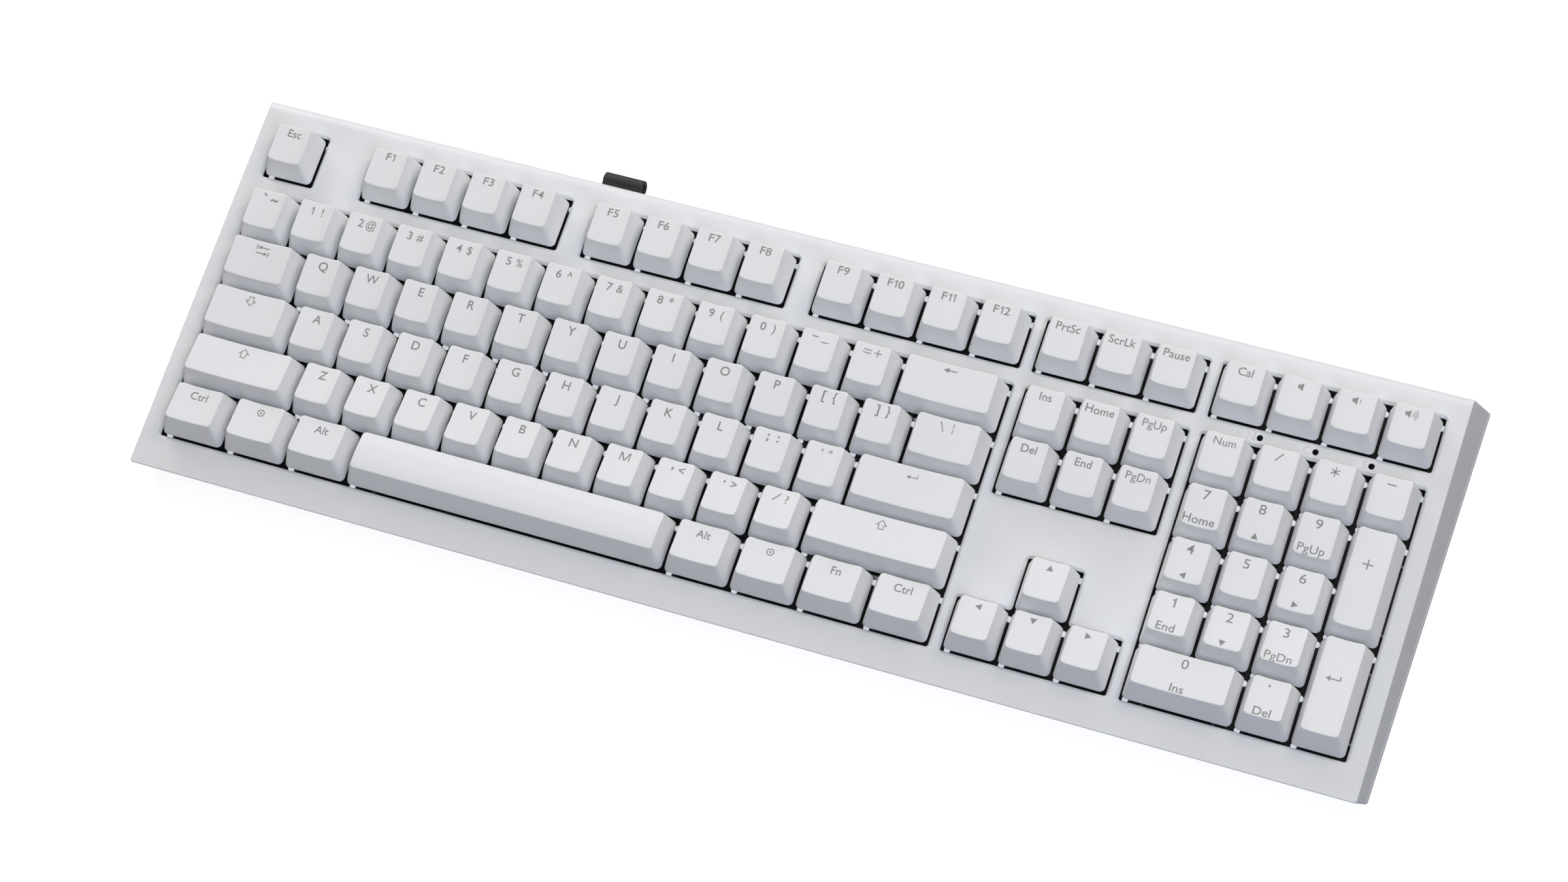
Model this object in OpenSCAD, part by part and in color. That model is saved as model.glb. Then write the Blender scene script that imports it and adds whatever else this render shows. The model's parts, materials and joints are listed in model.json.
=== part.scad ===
// Full-size mechanical keyboard, 108 keys, as an assembly of separate pieces.
// World frame: origin on the surface it rests on, at the middle of the outline.
// +X to the right, +Y to the rear, +Z up. The key deck leans up to the rear.
// Deck frame (inside on_deck()): X centred on the key field, Y = 0 at the front
// of the bottom key row, Z = 0 at the inner foot of the opening rims.

/* [Key field] */
// Centre distance of neighbouring keys
key_pitch = 19.05; // [18.6:0.05:19.4]
// Extra gap between the function row and the number row
row_gap = 6.6; // [5:0.1:9]
// How far a key travels down
key_travel = 4; // [3:0.1:4]
// Gap from a key cell's border to the keycap skirt
skirt_gap = 0.5; // [0.4:0.05:0.7]
// Inset of a keycap's top from its cell, left and right
cap_inset = 3; // [2.8:0.1:3.6]
// Depth of the dish in a keycap's top
dish_depth = 1; // [0.4:0.05:1.1]

/* [Case] */
// Width of the deck
case_w = 443; // [440:1:450]
// Deck in front of the bottom key row
bezel_front = 12.6; // [11:0.1:15]
// Deck behind the function row
bezel_rear = 9.1; // [8.6:0.1:12]
// Lean of the key deck
tilt = 5.6; // [5:0.1:6.2]
// Outward lean of the side walls
side_flare = 6.2; // [3:0.1:8]
// Wall thickness of both shells
wall = 2.5; // [2.2:0.1:2.8]
// Thickness of the deck
deck_t = 2.2; // [1.8:0.1:2.4]
// Rounding of the rear top edge
rear_r = 4; // [2:0.5:5]
// Height of the bottom shell's visible edge
seam_h = 3.4; // [3:0.1:5]
// How far the rubber feet lift the bottom shell
foot_lift = 1.5; // [1:0.1:2.5]

/* [Tilt feet] */
// Width of a tilt foot
foot_w = 40; // [30:1:46]
// Length of a tilt foot from its pivot
foot_len = 24; // [18:1:25]
// Radius of the pivot pins
pin_r = 1.3; // [1:0.1:1.6]

/* [Hidden] */
$fn = 48;
coarse_fn = 12; // for small screw and lamp holes and the stabiliser wires
fit_gap = 0.05; // between pieces that rest on each other

// ---- deck frame ----
field_w = 22.5 * key_pitch;
row_y = [5 * key_pitch + row_gap, for (i = [4:-1:0]) i * key_pitch]; // front of each row
deck_top = 1;
front_y = -bezel_front;
rear_y = 6 * key_pitch + row_gap + bezel_rear;
// lower ends of the front and rear walls
base_front_y = front_y + 4.6;
base_front_z = -16.4;
base_rear_y = rear_y + 7.5;
// the base is level in the world, so it slopes in the deck frame
function base_z(y) = base_front_z - tan(tilt) * (y - base_front_y);

deck_shift_y = -(front_y * cos(tilt) - deck_top * sin(tilt)
  + base_rear_y * cos(tilt) - base_z(base_rear_y) * sin(tilt)) / 2;
deck_shift_z = foot_lift - (base_front_y * sin(tilt) + base_front_z * cos(tilt));
function world_y(y, z) = deck_shift_y + y * cos(tilt) - z * sin(tilt);

// levels in the deck frame
skirt_z = 0.5;
plate_z = -6; // top of the switch plate
plate_t = 1.5;
pcb_z = plate_z - 5; // top of the circuit board
pcb_t = 1.6;
pcb_under = pcb_z - pcb_t;

// ---- key layout ----
// a key is [left edge in units, row from the rear, width, height];
// height 2 reaches one row down, and such a key is listed at its front row
function row_of(left, row, count, width = 1) =
  [for (i = [0:count - 1]) [left + i * width, row, width, 1]];

K_ESC = row_of(0, 0, 1);
K_FUNCTION = [for (left = [2, 6.5, 11]) each row_of(left, 0, 4)];
F_BLOCKS_RIGHT = concat(row_of(15.25, 0, 3), row_of(18.5, 0, 4));
K_NUMBER = row_of(0, 1, 13);
K_BACKSPACE = [[13, 1, 2, 1]];
K_ENTER = [[12.75, 3, 2.25, 1]];
K_LSHIFT = [[0, 4, 2.25, 1]];
K_RSHIFT = [[12.25, 4, 2.75, 1]];
K_SPACE = [[3.75, 5, 6.25, 1]];
K_PUNCT = concat(row_of(11.5, 2, 2), [[13.5, 2, 1.5, 1]], row_of(10.75, 3, 2), row_of(9.25, 4, 3));
K_MOD = concat([[0, 2, 1.5, 1], [0, 3, 1.75, 1]], row_of(0, 5, 3, 1.25), row_of(10, 5, 4, 1.25));
K_NAV = concat([for (row = [0:2]) each row_of(15.25, row, 3)],
  row_of(16.25, 4, 1), row_of(15.25, 5, 3));
K_PAD = concat([for (row = [0, 1]) each row_of(18.5, row, 4)],
  [for (row = [2:4]) each row_of(18.5, row, 3)],
  [[18.5, 5, 2, 1], [20.5, 5, 1, 1], [21.5, 3, 1, 2], [21.5, 5, 1, 2]]);
LETTER_KEYS = concat(row_of(1.5, 2, 10), row_of(1.75, 3, 9), row_of(2.25, 4, 7));
ALL_KEYS = concat(K_ESC, K_FUNCTION, K_NUMBER, K_BACKSPACE, LETTER_KEYS, K_ENTER, K_LSHIFT,
  K_RSHIFT, K_SPACE, K_PUNCT, K_MOD, K_NAV, K_PAD);

function field_x(units) = units * key_pitch - field_w / 2;
function key_w(k) = k[2] * key_pitch;
function key_h(k) = k[3] * key_pitch;
function is_tall(k) = k[3] > 1;
// centre of a key
function key_x(k) = field_x(k[0]) + key_w(k) / 2;
function key_y(k) = row_y[k[1]] + key_h(k) / 2;
// half spread of a key's stabiliser, 0 when it has none
function spread(k) = max(k[2], k[3]) < 2 ? 0 : (max(k[2], k[3]) > 6 ? 50 : 11.938);
LONG_KEYS = [for (k = ALL_KEYS) if (spread(k) > 0) k];

// ---- places ----
// openings in the deck as [left, right, front row, rear row] in units and rows
OPENINGS = [
  [0, 1, 0, 0], [2, 6, 0, 0], [6.5, 10.5, 0, 0], [11, 15, 0, 0],
  [15.25, 18.25, 0, 0], [18.5, 22.5, 0, 0], [0, 15, 5, 1], [15.25, 18.25, 2, 1],
  [18.5, 22.5, 5, 1], [15.25, 18.25, 5, 5], [16.25, 17.25, 5, 4]];
LED_X = [for (i = [0:2]) field_x(19.5 + i)];
led_y = 5 * key_pitch + row_gap / 2;
// plate screws sit in the free strips between the key blocks
PLATE_SCREWS = concat(
  [for (units = [1.5, 6.25, 10.75, 15.125, 18.375]) [field_x(units), led_y]],
  [[field_x(15.125), 2.5 * key_pitch], [field_x(18.375), 1.5 * key_pitch]]);
CASE_SCREWS = concat([for (x = [-160, -64, 73.8, 160]) [x, -3.2]],
  [for (x = [-145, -45, 50, 145]) [x, rear_y - 4.1]]);
screw_r = 1.45;
screw_bore_r = 1.5;
usb_x = -120;
usb_z = pcb_z + 1.6;
// strap in the rear wall
tag_x = -85.6;
tag_z = -4.1;
tag_half_w = 7.5;
tag_r = 3.1;
tag_hole_r = 1.8;
// feet, in the world frame; rear ones are placed by a deck-frame level
foot_x = 172;
rear_foot_level = -25;
pivot_y = world_y(rear_y - 15, rear_foot_level);
pivot_z = foot_lift + 2.2;
PADS = [
  for (x = [-190, 190])
    for (y = [world_y(base_front_y, base_front_z) + 12,
              world_y(base_rear_y, rear_foot_level) - 8]) [x, y]];
pad_half = [16, 5]; // half size of a rubber foot's recess

LETTER_NODES = [for (letter = "qwertyuiopasdfghjklzxcvbnm") str("key_", letter)];
NODES = concat(["top_case", "bottom_case", "switch_plate", "circuit_board", "switch_bases",
  "switch_covers", "switch_springs", "switch_contacts", "stabilizer_housings",
  "stabilizer_wires", "matrix_diodes", "controller_chip", "indicator_leds", "usb_socket",
  "case_screws", "plate_screws", "rubber_feet", "rear_tag", "tilt_foot_left",
  "tilt_foot_right", "foot_pad_left", "foot_pad_right", "key_esc", "keys_function",
  "keys_number_row", "key_backspace", "key_enter", "key_left_shift", "key_right_shift",
  "key_space", "keys_punctuation", "keys_modifier", "keys_navigation", "keys_numpad"],
  LETTER_NODES);
node = "all";

// ---- placing ----
module on_deck() translate([0, deck_shift_y, deck_shift_z]) rotate([tilt, 0, 0]) children();

module at_key(k) translate([key_x(k), key_y(k), 0]) children();

module at_keys() for (k = ALL_KEYS) at_key(k) children();

// turned so that X runs along the key's longer side
module along_key(k) at_key(k) rotate([0, 0, is_tall(k) ? 90 : 0]) children();

module at_stabs(k) for (side = [-1, 1])
  along_key(k) translate([side * spread(k), 0, 0]) children();

module at_case_screws() for (p = CASE_SCREWS) translate([p[0], p[1], base_z(p[1])]) children();

module at_feet() for (side = [-1, 1]) translate([side * foot_x, 0, 0]) children();

// ---- shapes ----
// a box given by its low and high corners
module block(low, high) translate(low) cube(high - low);

// a box centred on the Z axis
module centred_block(half_x, half_y, z0, z1) block([-half_x, -half_y, z0], [half_x, half_y, z1]);

// two crossed bars of half length arm and half thicknesses t_x, t_y
module cross(arm, t_x, t_y, z0, z1) {
  centred_block(arm, t_x, z0, z1);
  centred_block(t_y, arm, z0, z1);
}

// an upright cylinder at p between two levels
module column(p, r, z0, z1) translate([p[0], p[1], z0]) cylinder(r = r, h = z1 - z0);

// a cylinder along X, centred
module rod(half, r) translate([-half, 0, 0]) rotate([0, 90, 0]) cylinder(r = r, h = 2 * half);

// a profile drawn in the YZ plane, run along X from x0 to x1
module run_x(x0, x1) translate([x0, 0, 0]) rotate([90, 0, 90]) linear_extrude(x1 - x0) children();

// a profile drawn in the XZ plane, run along Y from y0 to y1
module run_y(y0, y1) translate([0, y1, 0]) rotate([90, 0, 0]) linear_extrude(y1 - y0) children();

module rounded_rect(x0, x1, y0, y1, r) {
  translate([x0 + r, y0]) square([x1 - x0 - 2 * r, y1 - y0]);
  translate([x0, y0 + r]) square([x1 - x0, y1 - y0 - 2 * r]);
  for (x = [x0 + r, x1 - r]) for (y = [y0 + r, y1 - r]) translate([x, y]) circle(r);
}

// ---- case ----
above = 80; // heights over the base that clear the whole case
below = -20;
band_y = [-40, 180]; // reaches past the case, front and rear
// level inset per wall inset at the sloping front and rear walls
front_slant = 1.05;
rear_slant = 1.03;

// side outline of the case, inset all round, kept between two heights over the base
module side_outline(inset, low, high, top) {
  front = base_front_y + inset * front_slant;
  rear = base_rear_y - inset * rear_slant;
  rear_z = base_z(base_rear_y);
  intersection() {
    difference() {
      polygon([
        [front_y + inset, top], [front, base_front_z], [front, base_front_z - 30],
        [rear, rear_z - 30], [rear, rear_z], [rear_y - inset * rear_slant, top]]);
      // the outer solid alone gets the rounded rear top edge
      if (inset == 0) translate([rear_y - rear_r, top - rear_r]) difference() {
        square(rear_r * 3);
        circle(rear_r);
      }
    }
    polygon([
      [band_y[0], base_z(band_y[0]) + low], [band_y[1], base_z(band_y[1]) + low],
      [band_y[1], base_z(band_y[1]) + high], [band_y[0], base_z(band_y[0]) + high]]);
  }
}

// the case's outer or inner solid between two heights over its base
module case_body(inset, low, high, top) intersection() {
  run_x(-240, 240) side_outline(inset, low, high, top);
  run_y(-60, 200) {
    half = case_w / 2 - inset;
    drop = 60;
    foot = half + drop * tan(side_flare);
    polygon([[-half, deck_top], [half, deck_top], [foot, deck_top - drop], [-foot, deck_top - drop]]);
  }
}

module rear_opening(x, half_w, z0, z1)
  block([x - half_w, rear_y - 4, z0], [x + half_w, rear_y + 9, z1]);

module top_case() {
  opening_gap = 0.2; // round each key block
  color("whitesmoke") on_deck() difference() {
    union() {
      difference() {
        case_body(0, seam_h, above, deck_top);
        case_body(wall, below, above, deck_top - deck_t);
      }
      for (p = CASE_SCREWS) column(p, 2.8, base_z(p[1]) + 3.1, deck_top - deck_t + 0.5);
    }
    for (o = OPENINGS) translate([0, 0, -5]) linear_extrude(10)
      rounded_rect(field_x(o[0]) - opening_gap, field_x(o[1]) + opening_gap,
        row_y[o[2]] - opening_gap, row_y[o[3]] + key_pitch + opening_gap, 1.6);
    for (x = LED_X) translate([x, led_y, -5]) cylinder(d = 1.9, h = 10);
    at_case_screws() cylinder(r = screw_bore_r, h = 11);
    rear_opening(usb_x, 6.2, usb_z - 3.2, usb_z + 3.2);
    rear_opening(tag_x, tag_half_w + 0.3, tag_z - tag_r - 0.2, tag_z + tag_r + 0.2);
  }
}

// a box round a folded tilt foot, with margins beside, before and behind it
module foot_box(side, front, rear, z0, z1)
  block([-foot_w / 2 - side, pivot_y - foot_len - front, z0],
    [foot_w / 2 + side, pivot_y + rear, z1]);

module foot_pocket() {
  foot_box(side = 0.6, front = 3, rear = 3.6, z0 = 0, z1 = foot_lift + 6.4);
  translate([0, pivot_y, pivot_z]) rod(foot_w / 2 + 3, pin_r + 0.06);
}

module bottom_case() color("white") difference() {
  union() {
    on_deck() difference() {
      case_body(0, 0, seam_h - 0.35, deck_top);
      case_body(wall, 2.8, above, deck_top);
    }
    // lip that stands up inside the seam
    on_deck() difference() {
      case_body(wall + 0.1, 2, seam_h + 1.5, deck_top);
      case_body(wall + 1.1, below, above, deck_top);
      at_case_screws() cylinder(r = 3.2, h = 9);
    }
    // blocks that hold the foot pockets
    intersection() {
      at_feet() foot_box(side = 5.5, front = 5.5, rear = 6.5,
        z0 = foot_lift + 0.2, z1 = foot_lift + 9);
      on_deck() case_body(wall, 0.2, above, deck_top);
    }
    on_deck() for (p = PLATE_SCREWS) column(p, 2.7, base_z(p[1]) + 1, pcb_under - fit_gap);
  }
  at_feet() foot_pocket();
  for (p = PADS) translate([p[0], p[1], 0])
    centred_block(pad_half[0], pad_half[1], 0, foot_lift + 0.8);
  on_deck() {
    // clearance holes with counterbores from below
    at_case_screws() {
      translate([0, 0, -3]) cylinder(r = 1.75, h = 10);
      translate([0, 0, -3]) cylinder(r = 3.2, h = 4.5);
    }
    for (p = PLATE_SCREWS) column(p, screw_bore_r, -17.6, -11.6);
  }
}

// ---- plate and board ----
// the two pins of a switch
PINS = [[-3.85, 2.55], [2.55, 5.075]];

module screw_holes() {
  for (p = PLATE_SCREWS) translate(p) circle(1.7, $fn = coarse_fn);
  for (p = CASE_SCREWS) translate(p) circle(3.1, $fn = coarse_fn);
}

module switch_plate() color("silver") on_deck()
  translate([0, 0, plate_z - plate_t]) linear_extrude(plate_t) difference() {
    translate([-field_w / 2 - 2.7, -1]) square([field_w + 5.4, rear_y - 7]);
    at_keys() square(14, center = true);
    for (k = LONG_KEYS) at_stabs(k) square([6.8, 13.2], center = true);
    screw_holes();
    for (x = LED_X) translate([x, led_y]) circle(1.8, $fn = coarse_fn);
  }

module circuit_board() color("darkgreen") on_deck()
  translate([0, 0, pcb_under]) linear_extrude(pcb_t) difference() {
    union() {
      translate([-field_w / 2 - 1.2, -0.5]) square([field_w + 2.4, rear_y - 8.5]);
      // tongue under the USB socket
      translate([usb_x - 11, rear_y - 12]) square([22, 11.2]);
    }
    at_keys() {
      circle(2.15);
      for (p = PINS) translate(p) circle(0.75);
    }
    screw_holes();
  }

module matrix_diodes() color("black") on_deck() at_keys()
  translate([4.6, -5.5, pcb_under - 1]) cube([1.6, 2.7, 1]);

module controller_chip() color("black") on_deck() translate([-130, led_y, 0])
  centred_block(3.6, 3.6, pcb_under - 1.2, pcb_under);

module indicator_leds() {
  led_r = 1.5;
  body_h = 7.6;
  color("lightblue") on_deck() for (x = LED_X) translate([x, led_y, pcb_z]) {
    cylinder(r = led_r, h = body_h);
    translate([0, 0, body_h]) intersection() {
      sphere(r = led_r);
      translate([-2, -2, 0]) cube([4, 4, 3]);
    }
  }
}

module usb_outline(inset) rounded_rect(-4.47 + inset, 4.47 - inset, -1.6 + inset, 1.6 - inset,
  1.55 - inset);

// shell open to the rear, with a tongue inside
module usb_socket() color("lightgray") on_deck() translate([usb_x, 0, usb_z]) {
  difference() {
    run_y(rear_y - 8.4, rear_y - 1.2) usb_outline(0);
    run_y(rear_y - 7.4, rear_y) usb_outline(0.3);
  }
  block([-3.3, rear_y - 7.6, -0.35], [3.3, rear_y - 1.8, 0.35]);
}

// ---- switches ----
module switch_bases() color("black") on_deck() at_keys() difference() {
  union() {
    centred_block(6.95, 6.95, pcb_z + fit_gap, plate_z + fit_gap);
    centred_block(7.8, 7.8, plate_z + fit_gap, plate_z + 1);
    translate([0, 0, pcb_z - 3.2]) cylinder(r = 2, h = 4);
  }
  centred_block(5.7, 5.7, pcb_z + 0.8, plate_z + 3);
  for (p = PINS) column(p, 0.65, pcb_z - 1, pcb_z + 2);
}

// a square frustum, w0 wide at z0 and w1 wide at z1
module tapered(w0, w1, z0, z1) {
  side = [[-w0 / 2, z0], [w0 / 2, z0], [w1 / 2, z1], [-w1 / 2, z1]];
  intersection() {
    run_y(-20, 20) polygon(side);
    run_x(-20, 20) polygon(side);
  }
}

module switch_covers() color("dimgray") on_deck() at_keys() difference() {
  tapered(15.4, 9.6, plate_z + 1 + fit_gap, plate_z + 6.6);
  tapered(12.6, 7.8, plate_z + 0.5, plate_z + 5.3);
  centred_block(3.7, 3, plate_z + 4, plate_z + 8);
}

module switch_springs() color("gold") on_deck() at_keys()
  translate([0, 0, pcb_z + 0.85]) difference() {
    cylinder(r = 2.1, h = 8.1);
    translate([0, 0, -1]) cylinder(r = 1.65, h = 12);
  }

// two contacts in each switch, each a pin and a leaf
module switch_contacts() {
  pin_z = pcb_z - 3.2;
  leaf_z = pcb_z + 1.4;
  top_z = plate_z - 0.6;
  color("goldenrod") on_deck() at_keys() {
    union() {
      block([-4.2, 2.15, pin_z], [-3.5, 2.95, top_z]);
      block([-4.2, -0.6, leaf_z], [-3.9, 2.5, top_z]);
    }
    union() {
      block([2.2, 4.7, pin_z], [2.9, 5.45, top_z]);
      block([-1.5, 5.1, leaf_z], [2.5, 5.45, top_z]);
    }
  }
}

// ---- stabilisers ----
module stabilizer_housings() color("black") on_deck() for (k = LONG_KEYS) at_stabs(k)
  difference() {
    union() {
      centred_block(3.3, 6.5, pcb_z + 0.2, plate_z + 2.6);
      centred_block(3.2, 5.2, pcb_z + 0.2, plate_z + 5.4);
      centred_block(3.6, 6.8, plate_z + fit_gap, plate_z + 0.8);
    }
    centred_block(2.8, 4.5, pcb_z + 0.9, plate_z + 8);
    // slot for the wire
    block([-1.1, -9, plate_z - 0.05], [1.1, 0, plate_z + 2.3]);
  }

module stabilizer_wires() {
  wire_r = 0.8;
  color("lightgray") on_deck() for (k = LONG_KEYS)
    along_key(k) translate([0, 0, plate_z + 0.95]) union() {
      translate([0, -8.9, 0]) rod(spread(k), wire_r, $fn = coarse_fn);
      for (side = [-1, 1]) translate([side * spread(k), -9.7, 0])
        rotate([-90, 0, 0]) cylinder(r = wire_r, h = 12, $fn = coarse_fn);
    }
}

// ---- screws ----
// heads down, seated in the counterbores of the bottom shell
module case_screws() color("gray") on_deck() at_case_screws() difference() {
  union() {
    cylinder(r = 2.9, h = 1.45);
    cylinder(r = screw_r, h = 10);
  }
  cross(1.8, 0.35, 0.35, -0.2, 0.8);
}

// heads up, on the switch plate
module plate_screws() color("gray") on_deck() for (p = PLATE_SCREWS)
  translate([p[0], p[1], plate_z]) difference() {
    union() {
      translate([0, 0, 0.02]) cylinder(r = 2.7, h = 1.7);
      translate([0, 0, -11]) cylinder(r = screw_r, h = 12);
    }
    cross(1.7, 0.35, 0.35, 0.9, 2.9);
  }

// ---- feet and strap ----
module rubber_feet() {
  half = [pad_half[0] - 0.2, pad_half[1] - 0.2];
  color("dimgray") for (p = PADS) translate([p[0], p[1], 0])
    linear_extrude(foot_lift + 0.75) rounded_rect(-half[0], half[0], -half[1], half[1], 3);
}

// folded strap that stands out of the rear wall
module rear_tag() {
  fold_y = rear_y + 2;
  color("black") on_deck() run_x(tag_x - tag_half_w, tag_x + tag_half_w) difference() {
    union() {
      translate([fold_y - 5.4, tag_z - tag_r]) square([5.4, 2 * tag_r]);
      translate([fold_y, tag_z]) circle(tag_r);
    }
    translate([fold_y - 6.4, tag_z - tag_hole_r]) square([6.4, 2 * tag_hole_r]);
    translate([fold_y, tag_z]) circle(tag_hole_r);
  }
}

// folded flat under the case; +X rotation swings it down
module tilt_foot(side) color("lightgray") translate([side * foot_x, pivot_y, pivot_z]) {
  block([-foot_w / 2, -foot_len, -1.9], [foot_w / 2, 0, 1.9]);
  rod(foot_w / 2, 2.3);
  rod(foot_w / 2 + 2.6, pin_r);
}

// pad on the free end of a tilt foot
module foot_pad(side) color("dimgray") translate([side * foot_x, pivot_y, pivot_z])
  block([-foot_w / 2 + 1, -foot_len - 2, -1.7], [foot_w / 2 - 1, -foot_len, 1.7]);

module tilt_foot_left() tilt_foot(-1);
module tilt_foot_right() tilt_foot(1);
module foot_pad_left() foot_pad(-1);
module foot_pad_right() foot_pad(1);

// ---- keys ----
// keycap profile of each row: [rear inset, rear height, front inset, front height]
PROFILE = [
  [1.2, 10.4, 4.05, 10.0], [1.2, 10.4, 4.05, 10.0], [1, 10.3, 4.1, 9.6],
  [0.9, 9.2, 3.75, 9.5], [0.9, 8.6, 4.3, 10.6], [0.9, 8.8, 4.55, 10.6]];
cap_t = 2.2; // keycap thickness under its undished top
cap_wall = 1.4;
inset_z = 10.2; // level where the sides reach cap_inset
cap_limit_z = 12; // above every keycap
stem_top = plate_z + 6.4;

// front and rear edges of a keycap's top, y from its cell's front
function rear_row(k) = is_tall(k) ? k[1] - 1 : k[1];
function top_front_y(k) = PROFILE[k[1]][2];
function top_front_z(k) = PROFILE[k[1]][3];
function top_rear_y(k) = key_h(k) - PROFILE[rear_row(k)][0];
function top_rear_z(k) = PROFILE[rear_row(k)][1];
function top_slope(k) = (top_rear_z(k) - top_front_z(k)) / (top_rear_y(k) - top_front_y(k));
// height of the top plane, before the dish
function top_at(k, y) = top_front_z(k) + top_slope(k) * (y - top_front_y(k));

// cross on a stem, that the keycap sits on
module stem_cross() cross(2, 0.6, 0.55, plate_z + 6, plate_z + 10.2);

// its socket, wider by 0.06 all round
module cross_hole() cross(2.06, 0.66, 0.61, 0, 5);

// slider of one switch
module slider() {
  difference() {
    centred_block(3.3, 2.5, plate_z, stem_top);
    translate([0, 0, plate_z - 1]) cylinder(r = 2.3, h = 5.2);
  }
  stem_cross();
}

// fork of a stabiliser, riding with a long key
module stab_fork() {
  difference() {
    centred_block(2.4, 4, plate_z + 0.2, stem_top);
    centred_block(1.1, 5, plate_z - 1, plate_z + 5.95);
  }
  stem_cross();
}

// keycap body between its skirt and its top; inset thins it for the hollow
module cap_body(k, inset) {
  w = key_w(k);
  h = key_h(k);
  gap = skirt_gap + inset;
  drop = inset > 0 ? cap_t : 0;
  z0 = inset > 0 ? skirt_z - 1 : skirt_z;
  y0 = top_front_y(k) + inset;
  y1 = top_rear_y(k) - inset;
  lean_in = (cap_inset - skirt_gap) / (inset_z - skirt_z) * (cap_limit_z - z0);
  intersection() {
    run_x(0, w) polygon([[gap, z0], [h - gap, z0], [y1, top_at(k, y1) - drop],
      [y0, top_at(k, y0) - drop]]);
    run_y(0, h) polygon([[gap, z0], [w - gap, z0], [w - gap - lean_in, cap_limit_z],
      [gap + lean_in, cap_limit_z]]);
  }
}

// lying cylinder that hollows the top to dish_depth
module dish(k) {
  chord = key_w(k) - 2 * cap_inset;
  dish_r = chord * chord / (8 * dish_depth) + dish_depth / 2;
  mid_y = (top_rear_y(k) + top_front_y(k)) / 2;
  mid_z = (top_rear_z(k) + top_front_z(k)) / 2;
  translate([key_w(k) / 2, mid_y, mid_z - dish_depth + dish_r])
    rotate([-90 + atan(top_slope(k)), 0, 0]) translate([0, 0, -key_h(k)])
      cylinder(r = dish_r, h = 2 * key_h(k), $fn = dish_r > 60 ? 720 : 180);
}

// socket post that ends inside the keycap's top
module post(top, r) column([0, 0], r, 0.7, top - dish_depth - 0.6);

module key(k) on_deck() {
  mid = key_h(k) / 2;
  color("whitesmoke") difference() {
    union() {
      translate([key_x(k) - key_w(k) / 2, key_y(k) - mid, 0]) difference() {
        cap_body(k, 0);
        cap_body(k, cap_wall);
        // the space bar has no dish
        if (k[2] < 6) dish(k);
      }
      at_key(k) post(top_at(k, mid), 2.75);
      if (spread(k) > 0) for (side = [-1, 1]) {
        along = side * spread(k);
        place = is_tall(k) ? [0, along, 0] : [along, 0, 0];
        at_key(k) translate(place) post(top_at(k, mid + place[1]), 2.6);
      }
    }
    at_key(k) cross_hole();
    if (spread(k) > 0) at_stabs(k) cross_hole();
  }
  color("saddlebrown") at_key(k) slider();
  if (spread(k) > 0) color("dimgray") at_stabs(k) stab_fork();
}

module keys(list) for (k = list) key(k);

function shown(name) = node == "all" || node == name;

if (shown("top_case")) top_case();
if (shown("bottom_case")) bottom_case();
if (shown("switch_plate")) switch_plate();
if (shown("circuit_board")) circuit_board();
if (shown("switch_bases")) switch_bases();
if (shown("switch_covers")) switch_covers();
if (shown("switch_springs")) switch_springs();
if (shown("switch_contacts")) switch_contacts();
if (shown("stabilizer_housings")) stabilizer_housings();
if (shown("stabilizer_wires")) stabilizer_wires();
if (shown("matrix_diodes")) matrix_diodes();
if (shown("controller_chip")) controller_chip();
if (shown("indicator_leds")) indicator_leds();
if (shown("usb_socket")) usb_socket();
if (shown("case_screws")) case_screws();
if (shown("plate_screws")) plate_screws();
if (shown("rubber_feet")) rubber_feet();
if (shown("rear_tag")) rear_tag();
if (shown("tilt_foot_left")) tilt_foot_left();
if (shown("tilt_foot_right")) tilt_foot_right();
if (shown("foot_pad_left")) foot_pad_left();
if (shown("foot_pad_right")) foot_pad_right();
if (shown("key_esc")) keys(K_ESC);
if (shown("keys_function")) keys(K_FUNCTION);
if (shown("keys_number_row")) keys(K_NUMBER);
if (shown("key_backspace")) keys(K_BACKSPACE);
if (shown("key_enter")) keys(K_ENTER);
if (shown("key_left_shift")) keys(K_LSHIFT);
if (shown("key_right_shift")) keys(K_RSHIFT);
if (shown("key_space")) keys(K_SPACE);
if (shown("keys_punctuation")) keys(K_PUNCT);
if (shown("keys_modifier")) keys(K_MOD);
if (shown("keys_navigation")) keys(K_NAV);
if (shown("keys_numpad")) keys(K_PAD);
for (i = [0:25]) if (shown(LETTER_NODES[i])) keys([LETTER_KEYS[i]]);
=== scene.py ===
"""Full-size mechanical keyboard: keycaps with legends, sliders and springs, a two-part case
with tilt feet, rubber feet and a rear strap, and a studio round it.

World: metres, X to the right, Y to the rear, Z up, the keyboard resting on z = 0.
Deck frame: millimetres, x centred on the key field, y from the front of the bottom row,
z along the normal of the tilted deck, whose top face is at z = 1.
"""
import bpy
import bmesh
import json
import math
from collections import namedtuple
from mathutils import Vector, Matrix


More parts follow.
